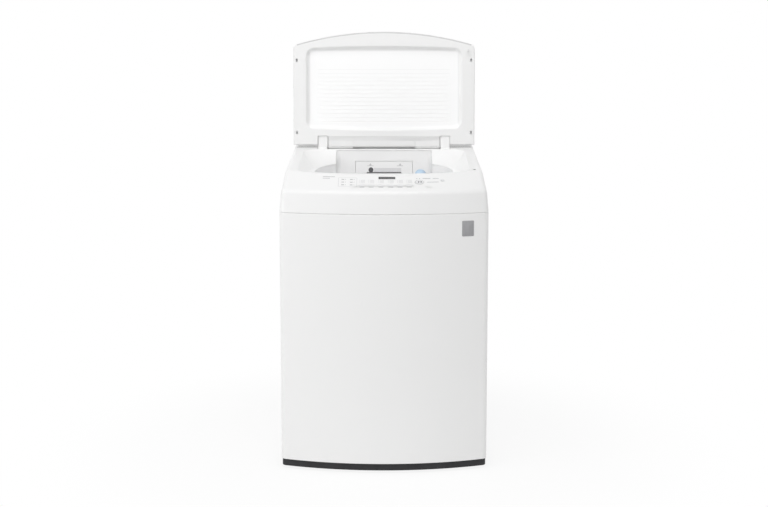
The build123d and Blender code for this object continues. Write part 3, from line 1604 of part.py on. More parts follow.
shaft_top = drum_floor + drum_base_wall
with BuildPart() as spin_shaft:
    with BuildSketch(Plane.XY.offset(spin_bottom)):
        with Locations((0, tub_y)):
            Circle(spin_radius)
            Circle(drive_radius + shaft_gap, mode=Mode.SUBTRACT)
    extrude(amount=shaft_top - spin_bottom)
save(spin_shaft, "spin_shaft")

# Wash plate on the drive shaft, with the rotor below
plate_level = shaft_top + plate_gap
hub_top = plate_level + plate_hub_height
with BuildPart() as wash_plate:
    with BuildSketch(tub_side):
        with BuildLine():
            Polyline(
                (drive_radius + bearing_fit, plate_level),
                (plate_hub_radius, plate_level),
                (plate_radius, plate_level),
                (plate_radius, plate_level + plate_rim),
                (plate_radius - plate_thickness, plate_level + plate_rim),
                (plate_radius - 2 * plate_rim, plate_level + plate_thickness),
                (plate_hub_radius + plate_rise, plate_level + plate_thickness),
                (plate_hub_radius, plate_level + plate_rise),
                (plate_hub_radius, hub_top),
                (drive_radius + bearing_fit, hub_top),
                close=True,
            )
        make_face()
    revolve(axis=tub_axis)
    for blade in range(fin_count):
        turn = 2 * pi * blade / fin_count
        fin_plane = Plane(
            origin=(0, tub_y, 0),
            x_dir=(cos(turn), sin(turn), 0),
            z_dir=(sin(turn), -cos(turn), 0),
        )
        with BuildSketch(fin_plane):
            with BuildLine():
                Polyline(
                    (plate_hub_radius - plate_thickness, plate_level + plate_thickness / 2),
                    (fin_outer, plate_level + plate_thickness / 2),
                    (fin_outer, plate_level + plate_thickness),
                    (fin_inner, plate_level + fin_height),
                    (plate_hub_radius - plate_thickness, plate_level + fin_height),
                    close=True,
                )
            make_face()
        extrude(amount=fin_thickness / 2, both=True)
save(wash_plate, "wash_plate")

with BuildPart() as wash_plate_cap:
    with BuildSketch(Plane.XY.offset(hub_top)):
        with Locations((0, tub_y)):
            Circle(plate_cap_radius)
    extrude(amount=plate_cap_height)
    chamfer(wash_plate_cap.edges().sort_by(Axis.Z)[-1], plate_cap_bevel)
save(wash_plate_cap, "wash_plate_cap")

with BuildPart() as drive_shaft:
    with BuildSketch(Plane.XY.offset(drive_bottom)):
        with Locations((0, tub_y)):
            Circle(drive_radius)
    extrude(amount=hub_top - drive_bottom)
save(drive_shaft, "drive_shaft")

magnet_inner = stator_radius + rotor_gap
magnet_outer = magnet_inner + rotor_magnet
with BuildPart() as rotor:
    with BuildSketch(tub_side):
        with BuildLine():
            Polyline(
                (drive_radius + bearing_fit, rotor_level - rotor_hub_drop),
                (rotor_hub_radius, rotor_level - rotor_hub_drop),
                (rotor_hub_radius, rotor_level),
                (magnet_outer + rotor_wall, rotor_level),
                (magnet_outer + rotor_wall, rotor_rim_top),
                (magnet_inner, rotor_rim_top),
                (magnet_inner, stator_level - rotor_magnet),
                (magnet_outer, stator_level - rotor_magnet),
                (magnet_outer, rotor_level + rotor_wall),
                (drive_radius + bearing_fit, rotor_level + rotor_wall),
                close=True,
            )
        make_face()
    revolve(axis=tub_axis)
    with BuildSketch(Plane.XY.offset(rotor_level)):
        with Locations((0, tub_y)):
            with PolarLocations((rotor_hub_radius + magnet_inner) / 2, rotor_window_count):
                SlotOverall(rotor_window_length, rotor_window_width)
    extrude(amount=rotor_wall, mode=Mode.SUBTRACT)
save(rotor, "rotor")

with BuildPart() as rotor_nut:
    with BuildSketch(Plane.XY.offset(rotor_level - rotor_hub_drop)):
        with Locations((0, tub_y)):
            RegularPolygon(nut_radius, 6)
            Circle(drive_radius + bearing_fit, mode=Mode.SUBTRACT)
    extrude(amount=-nut_height)
save(rotor_nut, "rotor_nut")
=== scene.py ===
import json
import math

import bmesh
import bpy
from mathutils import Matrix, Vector
from mathutils.bvhtree import BVHTree


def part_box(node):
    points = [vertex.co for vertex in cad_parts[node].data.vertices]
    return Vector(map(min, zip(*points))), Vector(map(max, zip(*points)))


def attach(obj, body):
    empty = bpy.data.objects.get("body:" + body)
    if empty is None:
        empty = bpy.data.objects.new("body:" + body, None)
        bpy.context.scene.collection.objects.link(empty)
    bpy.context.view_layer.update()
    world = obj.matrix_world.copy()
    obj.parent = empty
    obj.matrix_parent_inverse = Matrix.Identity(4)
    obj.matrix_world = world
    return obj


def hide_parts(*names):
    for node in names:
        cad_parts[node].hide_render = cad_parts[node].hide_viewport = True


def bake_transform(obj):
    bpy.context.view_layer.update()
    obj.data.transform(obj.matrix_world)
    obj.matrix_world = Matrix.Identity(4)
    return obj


# Top load washing machine with its lid open. Sizes are in metres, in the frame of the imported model:
# +Z is up, the front faces -Y and the origin is on the floor under the middle of the machine.
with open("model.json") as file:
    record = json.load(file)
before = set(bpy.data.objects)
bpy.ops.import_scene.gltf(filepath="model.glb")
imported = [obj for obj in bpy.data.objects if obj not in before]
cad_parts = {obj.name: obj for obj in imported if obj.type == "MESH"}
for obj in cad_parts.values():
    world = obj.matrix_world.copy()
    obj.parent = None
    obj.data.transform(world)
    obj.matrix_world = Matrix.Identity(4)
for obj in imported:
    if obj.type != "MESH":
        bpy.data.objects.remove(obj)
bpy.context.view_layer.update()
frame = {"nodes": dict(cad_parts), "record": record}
nodes = frame["nodes"]

# Photograph: its width in pixels, and the camera that took it
photo_width = 768
focal_pixels = 1295.6
camera_height = 1.396
camera_distance = 4.2        # from the front corners of the machine
camera_tilt = math.radians(7.02)
lens_shift = -0.06           # as a share of the picture's width
sensor_width = 36.0          # in millimetres

# Form of the machine that the details follow
cabinet_low, cabinet_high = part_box("cabinet")
machine_half = cabinet_high.x
front_y = cabinet_low.y
front_bow = 0.060
panel_run = 0.1113           # level, from the bow of the front back to the lip
panel_slope = math.radians(22.0)
lip_z = 0.9773
bow_radius = (machine_half**2 + front_bow**2) / (2 * front_bow)
bow_axis_y = front_y + bow_radius
lip_radius = bow_radius - panel_run

# Values that many functions share
to_back = Vector((0.0, 1.0, 0.0))
full_turn = 2 * math.pi
even = (1.0, 1.0, 1.0)       # noise that isn't drawn out
upright = (1.0, 1.0, 0.05)   # noise drawn out into upright lines
mark_lift = 0.00012          # of print above its surface


# Materials

def shader_of(material):
    """Principled shader of a material."""
    return material.node_tree.nodes["Principled BSDF"]


def new_material(name, colour, roughness, metallic=0.0, coat=0.0):
    """A principled material whose even values are set on the shader itself."""
    coat_roughness = 0.12
    made = bpy.data.materials.new(name)
    made.use_nodes = True
    inputs = shader_of(made).inputs
    inputs["Base Color"].default_value = (*colour, 1.0)
    inputs["Roughness"].default_value = roughness
    inputs["Metallic"].default_value = metallic
    inputs["Coat Weight"].default_value = coat
    inputs["Coat Roughness"].default_value = coat_roughness
    return made


def add_node(owner, kind, **values):
    """Adds a node to a material or the world and sets its inputs by name: from_min stands for From Min."""
    node = owner.node_tree.nodes.new(kind)
    for name, value in values.items():
        node.inputs[name.replace("_", " ").title()].default_value = value
    return node


def join(owner, start, end):
    """Links the output of one node to the input of another."""
    owner.node_tree.links.new(start, end)


def calculate(owner, operation, first, second=None):
    """Result of a sum. Each term is the output of a node or a plain number."""
    node = add_node(owner, "ShaderNodeMath")
    node.operation = operation
    for term, socket in zip((first, second), node.inputs):
        if isinstance(term, float):
            socket.default_value = term
        elif term is not None:
            join(owner, term, socket)
    return node.outputs["Value"]


def place_noise(material, scale, detail, stretch):
    """Noise in the piece's own coordinates. The scale is in bumps a metre."""
    place = add_node(material, "ShaderNodeTexCoord")
    mapping = add_node(material, "ShaderNodeMapping", scale=stretch)
    noise = add_node(material, "ShaderNodeTexNoise", scale=scale, detail=detail)
    join(material, place.outputs["Object"], mapping.inputs["Vector"])
    join(material, mapping.outputs["Vector"], noise.inputs["Vector"])
    return noise.outputs["Fac"]


def mottle(material, dark, light, scale, stretch=even):
    """Lets the colour wander between two shades."""
    dark_end = 0.2
    light_end = 0.8
    ramp = add_node(material, "ShaderNodeValToRGB")
    ramp.color_ramp.interpolation = "EASE"
    for stop, end, shade in zip(ramp.color_ramp.elements, (dark_end, light_end), (dark, light)):
        stop.position = end
        stop.color = (*shade, 1.0)
    join(material, place_noise(material, scale, detail=4.0, stretch=stretch), ramp.inputs["Fac"])
    join(material, ramp.outputs["Color"], shader_of(material).inputs["Base Color"])


def polish(material, least, most, scale, stretch=even):
    """Lets the roughness wander between two values."""
    span = add_node(material, "ShaderNodeMapRange", from_min=0.3, from_max=0.7, to_min=least, to_max=most)
    join(material, place_noise(material, scale, detail=3.0, stretch=stretch), span.inputs["Value"])
    join(material, span.outputs["Result"], shader_of(material).inputs["Roughness"])


def grain(material, scale, depth, strength, stretch=even, soft=0.0):
    """Fine relief of the surface, with edges that look rounded where a softness is given."""
    bump = add_node(material, "ShaderNodeBump", strength=strength, distance=depth)
    if soft > 0.0:
        rounding = add_node(material, "ShaderNodeBevel", radius=soft)
        rounding.name = "rounding"
        join(material, rounding.outputs["Normal"], bump.inputs["Normal"])
    join(material, place_noise(material, scale, detail=2.0, stretch=stretch), bump.inputs["Height"])
    join(material, bump.outputs["Normal"], shader_of(material).inputs["Normal"])


def own_place(material):
    """Place on the piece, split into its three directions."""
    place = add_node(material, "ShaderNodeTexCoord")
    split = add_node(material, "ShaderNodeSeparateXYZ")
    join(material, place.outputs["Object"], split.inputs["Vector"])
    return split.outputs


def within(material, value, middle, reach, soft):
    """One within the reach of a middle value, fading to nought past it."""
    offset = calculate(material, "SUBTRACT", value, middle)
    edge = add_node(material, "ShaderNodeMapRange", from_min=reach + soft, from_max=reach - soft)
    edge.interpolation_type = "SMOOTHSTEP"
    join(material, calculate(material, "ABSOLUTE", offset), edge.inputs["Value"])
    return edge.outputs["Result"]


def mix_colour(material, share, outside, inside):
    """Goes to the inside shade by a share from nought to one. The outside is a shade or a node's colour."""
    blend = add_node(material, "ShaderNodeMix")
    blend.data_type = "RGBA"
    blend.inputs["B"].default_value = (*inside, 1.0)
    if isinstance(outside, tuple):
        blend.inputs["A"].default_value = (*outside, 1.0)
    else:
        join(material, outside, blend.inputs["A"])
    join(material, share, blend.inputs["Factor"])
    return blend.outputs["Result"]


def scaled(colour, factor):
    """A colour made darker, or lighter as far as white."""
    return tuple(min(1.0, channel * factor) for channel in colour)


def white_sheet():
    """Baked white enamel with a faint orange peel."""
    made = new_material("white_sheet", (0.87, 0.87, 0.865), roughness=0.3, coat=0.25)
    mottle(made, dark=(0.868, 0.868, 0.865), light=(0.874, 0.874, 0.871), scale=2.0)
    polish(made, least=0.29, most=0.33, scale=5.0)
    grain(made, scale=420.0, depth=0.00012, strength=0.06)
    return made


def moulded_white(name, soft):
    """White moulded plastic with a fine even grain and softened edges."""
    made = new_material(name, (0.88, 0.88, 0.875), roughness=0.32, coat=0.1)
    polish(made, least=0.28, most=0.36, scale=6.0)
    grain(made, scale=1400.0, depth=0.00006, strength=0.15, soft=soft)
    return made


def white_moulding():
    """White moulding of most pieces."""
    made = moulded_white("white_moulding", soft=0.003)
    mottle(made, dark=(0.872, 0.872, 0.868), light=(0.886, 0.886, 0.882), scale=4.0)
    return made


def cover_moulding():
    """White moulding of the top: painted light inside the mouth, where its white is made brighter, and
    softer at the knee below the panel.
    """
    edge_soft = 0.004
    knee_soft = 0.018
    knee_z = 0.934
    # Direction, middle, half size and softness of the mouth
    mouth = (("X", 0.0, 0.262, 0.004), ("Y", -0.033, 0.155, 0.004), ("Z", 0.923, 0.054, 0.003))
    made = moulded_white("cover_moulding", edge_soft)
    place = own_place(made)
    inside = 1.0
    for axis, middle, half, soft in mouth:
        inside = calculate(made, "MULTIPLY", inside, within(made, place[axis], middle, half, soft))
    # Painted light: the inside of the mouth gets a brighter white to lift the shade in it.
    colour = mix_colour(made, inside, outside=(0.875, 0.875, 0.873), inside=(0.93, 0.93, 0.93))
    join(made, colour, shader_of(made).inputs["Base Color"])
    knee = add_node(made, "ShaderNodeMapRange", to_min=edge_soft, to_max=knee_soft)
    join(made, within(made, place["Z"], knee_z, reach=0.020, soft=0.008), knee.inputs["Value"])
    join(made, knee.outputs["Result"], made.node_tree.nodes["rounding"].inputs["Radius"])
    return made


def liner_moulding():
    """White moulding of the lid's inside. Its dish is made brighter as painted light, two faint darker lines
    above the ribs are painted shade, and a painted light along each rib lifts the rib's shadow.
    """
    frame_white = (0.853, 0.853, 0.850)
    # Painted light: the dish is given a brighter white than the frame.
    dish_painted_light = (0.962, 0.962, 0.962)
    # Painted shade: two faint darker lines above the ribs.
    shade_line_grey = (0.92, 0.92, 0.92)
    # Painted light: a brighter band along each rib lifts the shadow that the rib casts.
    rib_shade_lift_white = (1.0, 1.0, 1.0)
    dish_x = 0.270
    dish_z = 1.246
    dish_half = 0.139
    # Painted shade: height of the upper of the two darker lines.
    shade_line_z = 1.3177
    line_half = 0.0014
    line_soft = 0.0006
    rib_x = 0.240
    rib_pitch = 0.01456
    rib_gaps = 11
    rib_lift_full = 0.0018
    rib_end = 0.0036
    rib_margin = 0.004
    rib_z = shade_line_z - 2 * rib_pitch
    ribs_half = rib_gaps * rib_pitch / 2
    made = moulded_white("liner_moulding", soft=0.005)
    place = own_place(made)
    # Painted light: the dish, across and up the lid, takes the brighter white.
    across = within(made, place["X"], 0.0, dish_x, soft=0.004)
    up = within(made, place["Z"], dish_z, dish_half, soft=0.004)
    # Painted shade: masks of the two darker lines.
    upper = within(made, place["Z"], shade_line_z, line_half, line_soft)
    lower = within(made, place["Z"], shade_line_z - rib_pitch, line_half, line_soft)
    lines = calculate(made, "MAXIMUM", upper, lower)
    # Painted light: distance to the nearest rib gives the brighter band that lifts its shadow.
    off_rib = calculate(made, "PINGPONG", calculate(made, "SUBTRACT", place["Z"], rib_z), rib_pitch / 2)
    band = add_node(made, "ShaderNodeMapRange", from_min=rib_end, from_max=rib_lift_full)
    join(made, off_rib, band.inputs["Value"])
    rows = within(made, place["Z"], rib_z - ribs_half, ribs_half + rib_margin, soft=0.0005)
    rib_shade_lift = calculate(made, "MULTIPLY", rows, band.outputs["Result"])
    length = within(made, place["X"], 0.0, rib_x, soft=0.003)
    colour = mix_colour(made, calculate(made, "MULTIPLY", across, up), frame_white, dish_painted_light)
    for share, shade in ((lines, shade_line_grey), (rib_shade_lift, rib_shade_lift_white)):
        colour = mix_colour(made, calculate(made, "MULTIPLY", length, share), colour, shade)
    join(made, colour, shader_of(made).inputs["Base Color"])
    return made


def pale_moulding():
    """Pale grey moulded plastic of the dispenser."""
    made = new_material("pale_moulding", (0.73, 0.73, 0.73), roughness=0.35)
    mottle(made, dark=(0.72, 0.72, 0.72), light=(0.74, 0.74, 0.74), scale=8.0)
    polish(made, least=0.3, most=0.42, scale=12.0)
    grain(made, scale=1200.0, depth=0.00006, strength=0.15)
    return made


def dark_base():
    """Black moulded plastic with a leathery grain."""
    made = new_material("dark_base", (0.022, 0.022, 0.024), roughness=0.5)
    shader_of(made).inputs["Specular IOR Level"].default_value = 0.3
    mottle(made, dark=(0.018, 0.018, 0.02), light=(0.03, 0.03, 0.032), scale=30.0)
    polish(made, least=0.42, most=0.58, scale=40.0)
    grain(made, scale=900.0, depth=0.0002, strength=0.3)
    return made


def plain_plastic(name, colour, roughness, spread=0.04):
    """Moulded plastic in any colour."""
    made = new_material(name, colour, roughness)
    mottle(made, scaled(colour, 1.0 - spread), scaled(colour, 1.0 + spread), scale=18.0)
    polish(made, least=0.88 * roughness, most=1.15 * roughness, scale=25.0)
    grain(made, scale=1100.0, depth=0.00008, strength=0.18)
    return made


def zinc_sheet():
    """Galvanised sheet with its spangle."""
    dark = (0.57, 0.58, 0.592)
    light = (0.67, 0.68, 0.69)
    made = new_material("zinc_sheet", (0.62, 0.63, 0.64), roughness=0.4, metallic=1.0)
    place = add_node(made, "ShaderNodeTexCoord")
    cells = add_node(made, "ShaderNodeTexVoronoi", scale=85.0)
    ramp = add_node(made, "ShaderNodeValToRGB")
    for stop, shade in zip(ramp.color_ramp.elements, (dark, light)):
        stop.color = (*shade, 1.0)
    join(made, place.outputs["Object"], cells.inputs["Vector"])
    join(made, cells.outputs["Color"], ramp.inputs["Fac"])
    join(made, ramp.outputs["Color"], shader_of(made).inputs["Base Color"])
    polish(made, least=0.32, most=0.5, scale=60.0)
    grain(made, scale=500.0, depth=0.00005, strength=0.1)
    return made


def brushed(name, colour, roughness, stretch):
    """Metal with fine brush lines along the direction whose noise is drawn out."""
    made = new_material(name, colour, roughness, metallic=1.0)
    mottle(made, scaled(colour, 0.96), scaled(colour, 1.03), 60.0, stretch)
    polish(made, 0.92 * roughness, 1.1 * roughness, 90.0, stretch)
    grain(made, scale=900.0, depth=0.00002, strength=0.05, stretch=stretch)
    return made


def dark_glass():
    """Black window over the display."""
    made = new_material("dark_window", (0.008, 0.008, 0.01), roughness=0.06, coat=0.6)
    mottle(made, dark=(0.006, 0.006, 0.008), light=(0.012, 0.012, 0.014), scale=40.0)
    return made


def ink(name, colour):
    """Printed mark with a slightly uneven gloss."""
    made = new_material(name, colour, roughness=0.45)
    mottle(made, scaled(colour, 0.92), colour, scale=300.0)
    polish(made, least=0.4, most=0.55, scale=200.0)
    return made


def plate_metal():
    """Grey metal of the bare plate, with a fine upright brush."""
    made = new_material("plate_grey", (0.34, 0.34, 0.35), roughness=0.35, metallic=0.3)
    mottle(made, (0.32, 0.32, 0.33), (0.36, 0.36, 0.37), 400.0, upright)
    polish(made, 0.3, 0.42, 300.0, upright)
    return made


slot_materials = {
    "white_sheet": white_sheet(),
    "zinc_sheet": zinc_sheet(),
    "white_moulding": white_moulding(),
    "pale_grey_moulding": pale_moulding(),
    "key_grey": plain_plastic("key_grey", (0.80, 0.80, 0.81), 0.35, 0.02),
    "dark_base": dark_base(),
    "grey_plastic": plain_plastic("grey_plastic", (0.34, 0.35, 0.36), 0.45),
    "tub_plastic": plain_plastic("tub_plastic", (0.58, 0.59, 0.61), 0.4),
    "blue_plastic": plain_plastic("blue_plastic", (0.48, 0.62, 0.77), 0.25),
    "dark_window": dark_glass(),
    "board_green": plain_plastic("board_green", (0.015, 0.10, 0.04), 0.45),
    "stainless": brushed("stainless", (0.83, 0.83, 0.84), 0.42, upright),
    "steel": brushed("steel", (0.50, 0.50, 0.51), 0.35, (1.0, 1.0, 0.2)),
    "alloy": brushed("alloy", (0.62, 0.63, 0.64), 0.5, even),
    "core": plain_plastic("core", (0.20, 0.09, 0.04), 0.4, 0.15),
    "rotor_steel": plain_plastic("rotor_steel", (0.07, 0.07, 0.075), 0.4),
    "black_rubber": plain_plastic("black_rubber", (0.02, 0.02, 0.02), 0.7),
}

# Pieces that look other than the rest of their slot
own_materials = {
    "top_cover": cover_moulding(),
    "lid_inner": liner_moulding(),
    "lid_strike": plain_plastic("strike_plastic", (0.72, 0.72, 0.72), 0.4),
    "balance_ring": plain_plastic("ring_plastic", (0.74, 0.75, 0.76), 0.4),
    "tub_cover": plain_plastic("tub_cover_plastic", (0.80, 0.80, 0.81), 0.4),
}

for part in frame["record"]["subparts"]:
    node_name = part["node"]
    node_materials = nodes[node_name].data.materials
    node_materials.clear()
    node_materials.append(own_materials.get(node_name, slot_materials[part["material_slot"]]))

grey_ink = ink("grey_ink", (0.42, 0.42, 0.43))
pale_ink = ink("pale_ink", (0.62, 0.62, 0.63))
dark_ink = ink("dark_ink", (0.05, 0.05, 0.055))
unlit_ink = ink("unlit_ink", (0.10, 0.10, 0.11))


# Shapes for the small details

def make_piece(name, points, faces, body, slot, material=None, smooth=True):
    """A mesh that rides on a body, or stays unparented where none is given.

    It has the material of its slot unless another is given.
    """
    mesh = bpy.data.meshes.new(name)
    mesh.from_pydata([tuple(point) for point in points], [], faces)
    mesh.validate()
    mesh.polygons.foreach_set("use_smooth", [smooth] * len(mesh.polygons))
    mesh.materials.append(material or slot_materials[slot])
    piece = bpy.data.objects.new(name, mesh)
    bpy.context.scene.collection.objects.link(piece)
    if body:
        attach(piece, body)
    return piece


def thicken(piece, thick):
    """Gives an open mesh a wall behind its faces."""
    wall = piece.modifiers.new("wall", "SOLIDIFY")
    wall.thickness = thick
    wall.offset = -1.0


def grid_faces(lines, row):
    """Faces between neighbouring lines of points. The row is the count of points in each line."""
    return [
        (line * row + k, line * row + k + 1, (line + 1) * row + k + 1, (line + 1) * row + k)
        for line in range(lines - 1)
        for k in range(row - 1)
    ]


def turned(faces):
    """Faces that look the other way."""
    return [face[::-1] for face in faces]


def ease(value, start=0.0, end=1.0):
    """Goes smoothly from nought to one between two values."""
    share = min(1.0, max(0.0, (value - start) / (end - start)))
    return share * share * (3.0 - 2.0 * share)


def surface_of(node):
    """Search tree over the faces of a CAD piece."""
    mesh = nodes[node].data
    corners = [point.co for point in mesh.vertices]
    return BVHTree.FromPolygons(corners, [face.vertices for face in mesh.polygons])


def look_back(tree, x, start_y, z):
    """Point and normal where a line that runs back from a place first meets a surface."""
    return tree.ray_cast(Vector((x, start_y, z)), to_back)[:2]


def bar(x, y, wide, high):
    """Flat bar in short lengths, so that it can follow a bowed surface."""
    longest = 0.006
    count = max(1, round(wide / longest))
    step = wide / count
    left = x - wide / 2
    return [
        [
            (left + i * step, y - high / 2),
            (left + (i + 1) * step, y - high / 2),
            (left + (i + 1) * step, y + high / 2),
            (left + i * step, y + high / 2),
        ]
        for i in range(count)
    ]


def ring(x, y, inner, outer, start=0.0, end=full_turn):
    """Flat ring or arc."""
    full_count = 32
    least_count = 6
    count = max(least_count, round(full_count * (end - start) / full_turn))
    turns = [start + (end - start) * i / count for i in range(count + 1)]
    return [
        [
            (x + inner * math.cos(a), y + inner * math.sin(a)),
            (x + outer * math.cos(a), y + outer * math.sin(a)),
            (x + outer * math.cos(b), y + outer * math.sin(b)),
            (x + inner * math.cos(b), y + inner * math.sin(b)),
        ]
        for a, b in zip(turns, turns[1:])
    ]


def dot(x, y, radius):
    """Round mark: a ring whose eye is too small to see."""
    eye = 0.02 * radius
    return ring(x, y, eye, radius)


def border(x, y, wide, high, line):
    """Rectangular outline."""
    return (
        bar(x, y - high / 2, wide, line)
        + bar(x, y + high / 2, wide, line)
        + bar(x - wide / 2, y, line, high)
        + bar(x + wide / 2, y, line, high)
    )


def lay_marks(name, marks, place, body, slot, material):
    """Lays flat marks on a surface. The place function gives the point in space for a flat place."""
    points = []
    faces = []
    for mark in marks:
        faces.append(tuple(range(len(points), len(points) + len(mark))))
        points.extend(place(*corner) for corner in mark)
    make_piece(name, points, faces, body, slot, material)


# Printed marks on the control panel, by place across it and by distance down from the lip

legend_line = 0.0030
start_x = 0.116
start_along = 0.046


def panel_place(surface):
    """Gives a function that lays marks on a piece of the bowed panel."""
    tree = surface_of(surface)
    above = 0.01

    def place(x, along):
        radius = lip_radius + along * math.cos(panel_slope)
        back = math.sqrt(radius**2 - x**2)
        point = Vector((x, bow_axis_y - back, lip_z - along * math.sin(panel_slope)))
        normal = Vector((x, -back, 0.0)) * math.sin(panel_slope) / radius
        normal.z = math.cos(panel_slope)
        hit = tree.ray_cast(point + normal * above, -normal, 2 * above)[0]
        return (hit if hit else point) + normal * mark_lift

    return place


def lay_panel_marks(name, marks, surface, body, slot, material):
    """Lays marks on the panel. They run down from the lip, so their corners are turned round to face out."""
    lay_marks(name, turned(marks), panel_place(surface), body, slot, material)


def block_marks():
    """Six choices in two columns, each a short bar and a dot, and the frame around them."""
    block_x = -0.119
    block_along = 0.046
    column_offset = 0.014
    row_pitch = 0.019
    choices = []
    for column in (-1, 1):
        for row in (-1, 0, 1):
            x = block_x + column * column_offset
            along = block_along + row * row_pitch
            choices += bar(x - 0.002, along, wide=0.009, high=0.0045)
            choices += dot(x + 0.007, along, radius=0.0016)
    return choices, border(block_x, block_along, wide=0.060, high=0.062, line=0.0011)


def key_marks():
    """Bar under each key, and the three choices over it, each a short bar and a dot."""
    key_places = (-0.072, -0.042, -0.010, 0.022, 0.052, 0.082)
    bar_along = 0.0795
    choice_along = 0.032
    choice_pitch = 0.0085
    bars = []
    choices = []
    for x in key_places:
        bars += bar(x, bar_along, wide=0.016, high=legend_line)
        for row in range(3):
            along = choice_along + row * choice_pitch
            choices += bar(x + 0.003, along, wide=0.014, high=0.0024)
            choices += dot(x - 0.008, along, radius=0.0013)
    return bars, choices


def start_marks():
    """Ring of the start button, its legend, and the row of marks over it."""
    over_along = 0.021
    marks = ring(start_x, start_along, inner=0.0142, outer=0.0152)
    marks += bar(start_x + 0.044, start_along + 0.001, wide=0.038, high=legend_line)
    for offset in (-0.008, 0.001):
        marks += dot(start_x + offset, over_along, radius=0.0020)
    marks += bar(start_x + 0.024, over_along, wide=0.026, high=0.0032)
    marks += bar(start_x + 0.054, over_along + 0.001, wide=0.020, high=0.0026)
    return marks


def panel_legends():
    """Generic marks where the panel carries its legends."""
    legend_x = -0.182
    fine = bar(legend_x, 0.010, wide=0.040, high=legend_line)
    fine += bar(legend_x - 0.008, 0.021, wide=0.024, high=legend_line)
    block_choices, block_frame = block_marks()
    key_bars, key_choices = key_marks()
    fine += block_choices + key_bars + start_marks()
    faint = block_frame + key_choices
    lay_panel_marks("panel_legends", fine, "top_cover", "cabinet", "grey_plastic", grey_ink)
    lay_panel_marks("panel_faint_legends", faint, "top_cover", "cabinet", "grey_plastic", pale_ink)


def start_sign():
    """Arrow and two bars on the start button."""
    arrow_x = start_x - 0.0045
    arrow_long = 0.0060
    arrow_half = 0.0055
    tip = (arrow_x + arrow_long, start_along)
    marks = [[(arrow_x, start_along - arrow_half), tip, (arrow_x, start_along + arrow_half)]]
    for offset in (0.0040, 0.0070):
        marks += bar(start_x + offset, start_along, wide=0.0016, high=2 * arrow_half)
    lay_panel_marks("start_sign", marks, "start_button", "start", "dark_window", dark_ink)


def power_sign():
    """Open ring and stroke on the power button."""
    power_x = 0.192
    power_along = 0.037
    gap = math.radians(35.0)
    first = gap - math.pi / 2
    last = 1.5 * math.pi - gap
    marks = ring(power_x, power_along, inner=0.0030, outer=0.0039, start=first, end=last)
    marks += bar(power_x, power_along - 0.0032, wide=0.0009, high=0.0036)
    lay_panel_marks("power_sign", marks, "power_button", "power", "grey_plastic", grey_ink)


def display_marks():
    """Unlit segments of two pairs of figures on the dark window."""
    figure_places = (-0.0085, 0.0015, 0.0175, 0.0275)
    colon_x = 0.0095
    middle = 0.015
    colon_half = 0.0018
    figure_half = 0.0045
    side_offset = 0.0028
    line = 0.0008
    marks = []
    for end in (-1, 1):
        marks += dot(colon_x, middle + end * colon_half, radius=0.0007)
    for x in figure_places:
        for row in (-1, 0, 1):
            marks += bar(x, middle + row * figure_half, wide=0.0042, high=line)
        for side in (-1, 1):
            for end in (-1, 1):
                along = middle + end * figure_half / 2
                marks += bar(x + side * side_offset, along, wide=line, high=0.0034)
    lay_panel_marks("display_segments", marks, "display_window", "cabinet", "dark_window", unlit_ink)


def drawer_marks():
    """Marks on the slanted front of the drawer, by place across it and by height, with a bar of painted
    shade at the finger slot.
    """
    tree = surface_of("dispenser_drawer")
    start_y = -0.2
    sign_places = (-0.049, 0.058)
    sign_z = 0.9745
    band_x = 0.013
    band_z = 0.9610
    dial_x = -0.047
    dial_z = 0.9605
    # Painted shade: height of the dark bar at the finger slot.
    shade_line_z = 0.9518

    def place(x, height):
        hit, normal = look_back(tree, x, start_y, height)
        return hit + normal * mark_lift

    signs = []
    for x in sign_places:
        signs += bar(x, sign_z, wide=0.022, high=0.0016)
        signs += bar(x, sign_z + 0.0030, wide=0.008, high=0.0030)
        signs += dot(x, sign_z + 0.0063, radius=0.0016)
    band = bar(band_x, band_z, wide=0.098, high=0.0125)
    # The dot is the printed dial; the wide bar is painted shade at the finger slot.
    dark = dot(dial_x, dial_z, radius=0.0088) + bar(0.0, shade_line_z, wide=0.124, high=0.0034)
    lay_marks("drawer_signs", signs, place, "drawer", "grey_plastic", grey_ink)
    lay_marks("drawer_band", band, place, "drawer", "grey_plastic", pale_ink)
    lay_marks("drawer_dial_and_slot_shade", dark, place, "drawer", "dark_window", dark_ink)


# Rounded corners of the opening, and trim of the lid

def well_coves():
    """Rounded corner on each side between the funnel of the opening and the dispenser's wall."""
    cover = surface_of("top_cover")
    wall = surface_of("dispenser_housing")
    edge_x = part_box("dispenser_housing")[1].x
    start_y = -0.1
    beside = 0.0015
    wide = 0.017
    foot = 0.919
    head = 1.0195
    levels = 40
    steps = 10
    for name, side in (("left", -1), ("right", 1)):
        points = []
        for level in range(levels + 1):
            z = foot + (head - foot) * level / levels
            near = look_back(cover, side * (edge_x + beside), start_y, z)[0]
            far = look_back(wall, side * (edge_x - wide), start_y, z)[0]
            for step in range(steps + 1):
                turn = math.pi / 2 * step / steps
                x = edge_x + beside / 2 - wide * (1.0 - math.cos(turn))
                points.append((side * x, near.y + (far.y - near.y) * math.sin(turn), z))
        faces = grid_faces(levels + 1, steps + 1)
        if side > 0:
            faces = turned(faces)
        make_piece(f"well_cove_{name}", points, faces, "cabinet", "pale_grey_moulding")


def lid_block(name, side, corners, slot):
    """Block with flat faces on one side of the lid. Its corners run outwards, then back, then up."""
    faces = [(0, 1, 5, 4), (2, 6, 7, 3), (0, 4, 6, 2), (1, 3, 7, 5), (0, 2, 3, 1), (4, 5, 7, 6)]
    if side > 0:
        faces = turned(faces)
    make_piece(name, corners, faces, "lid", slot, smooth=False)


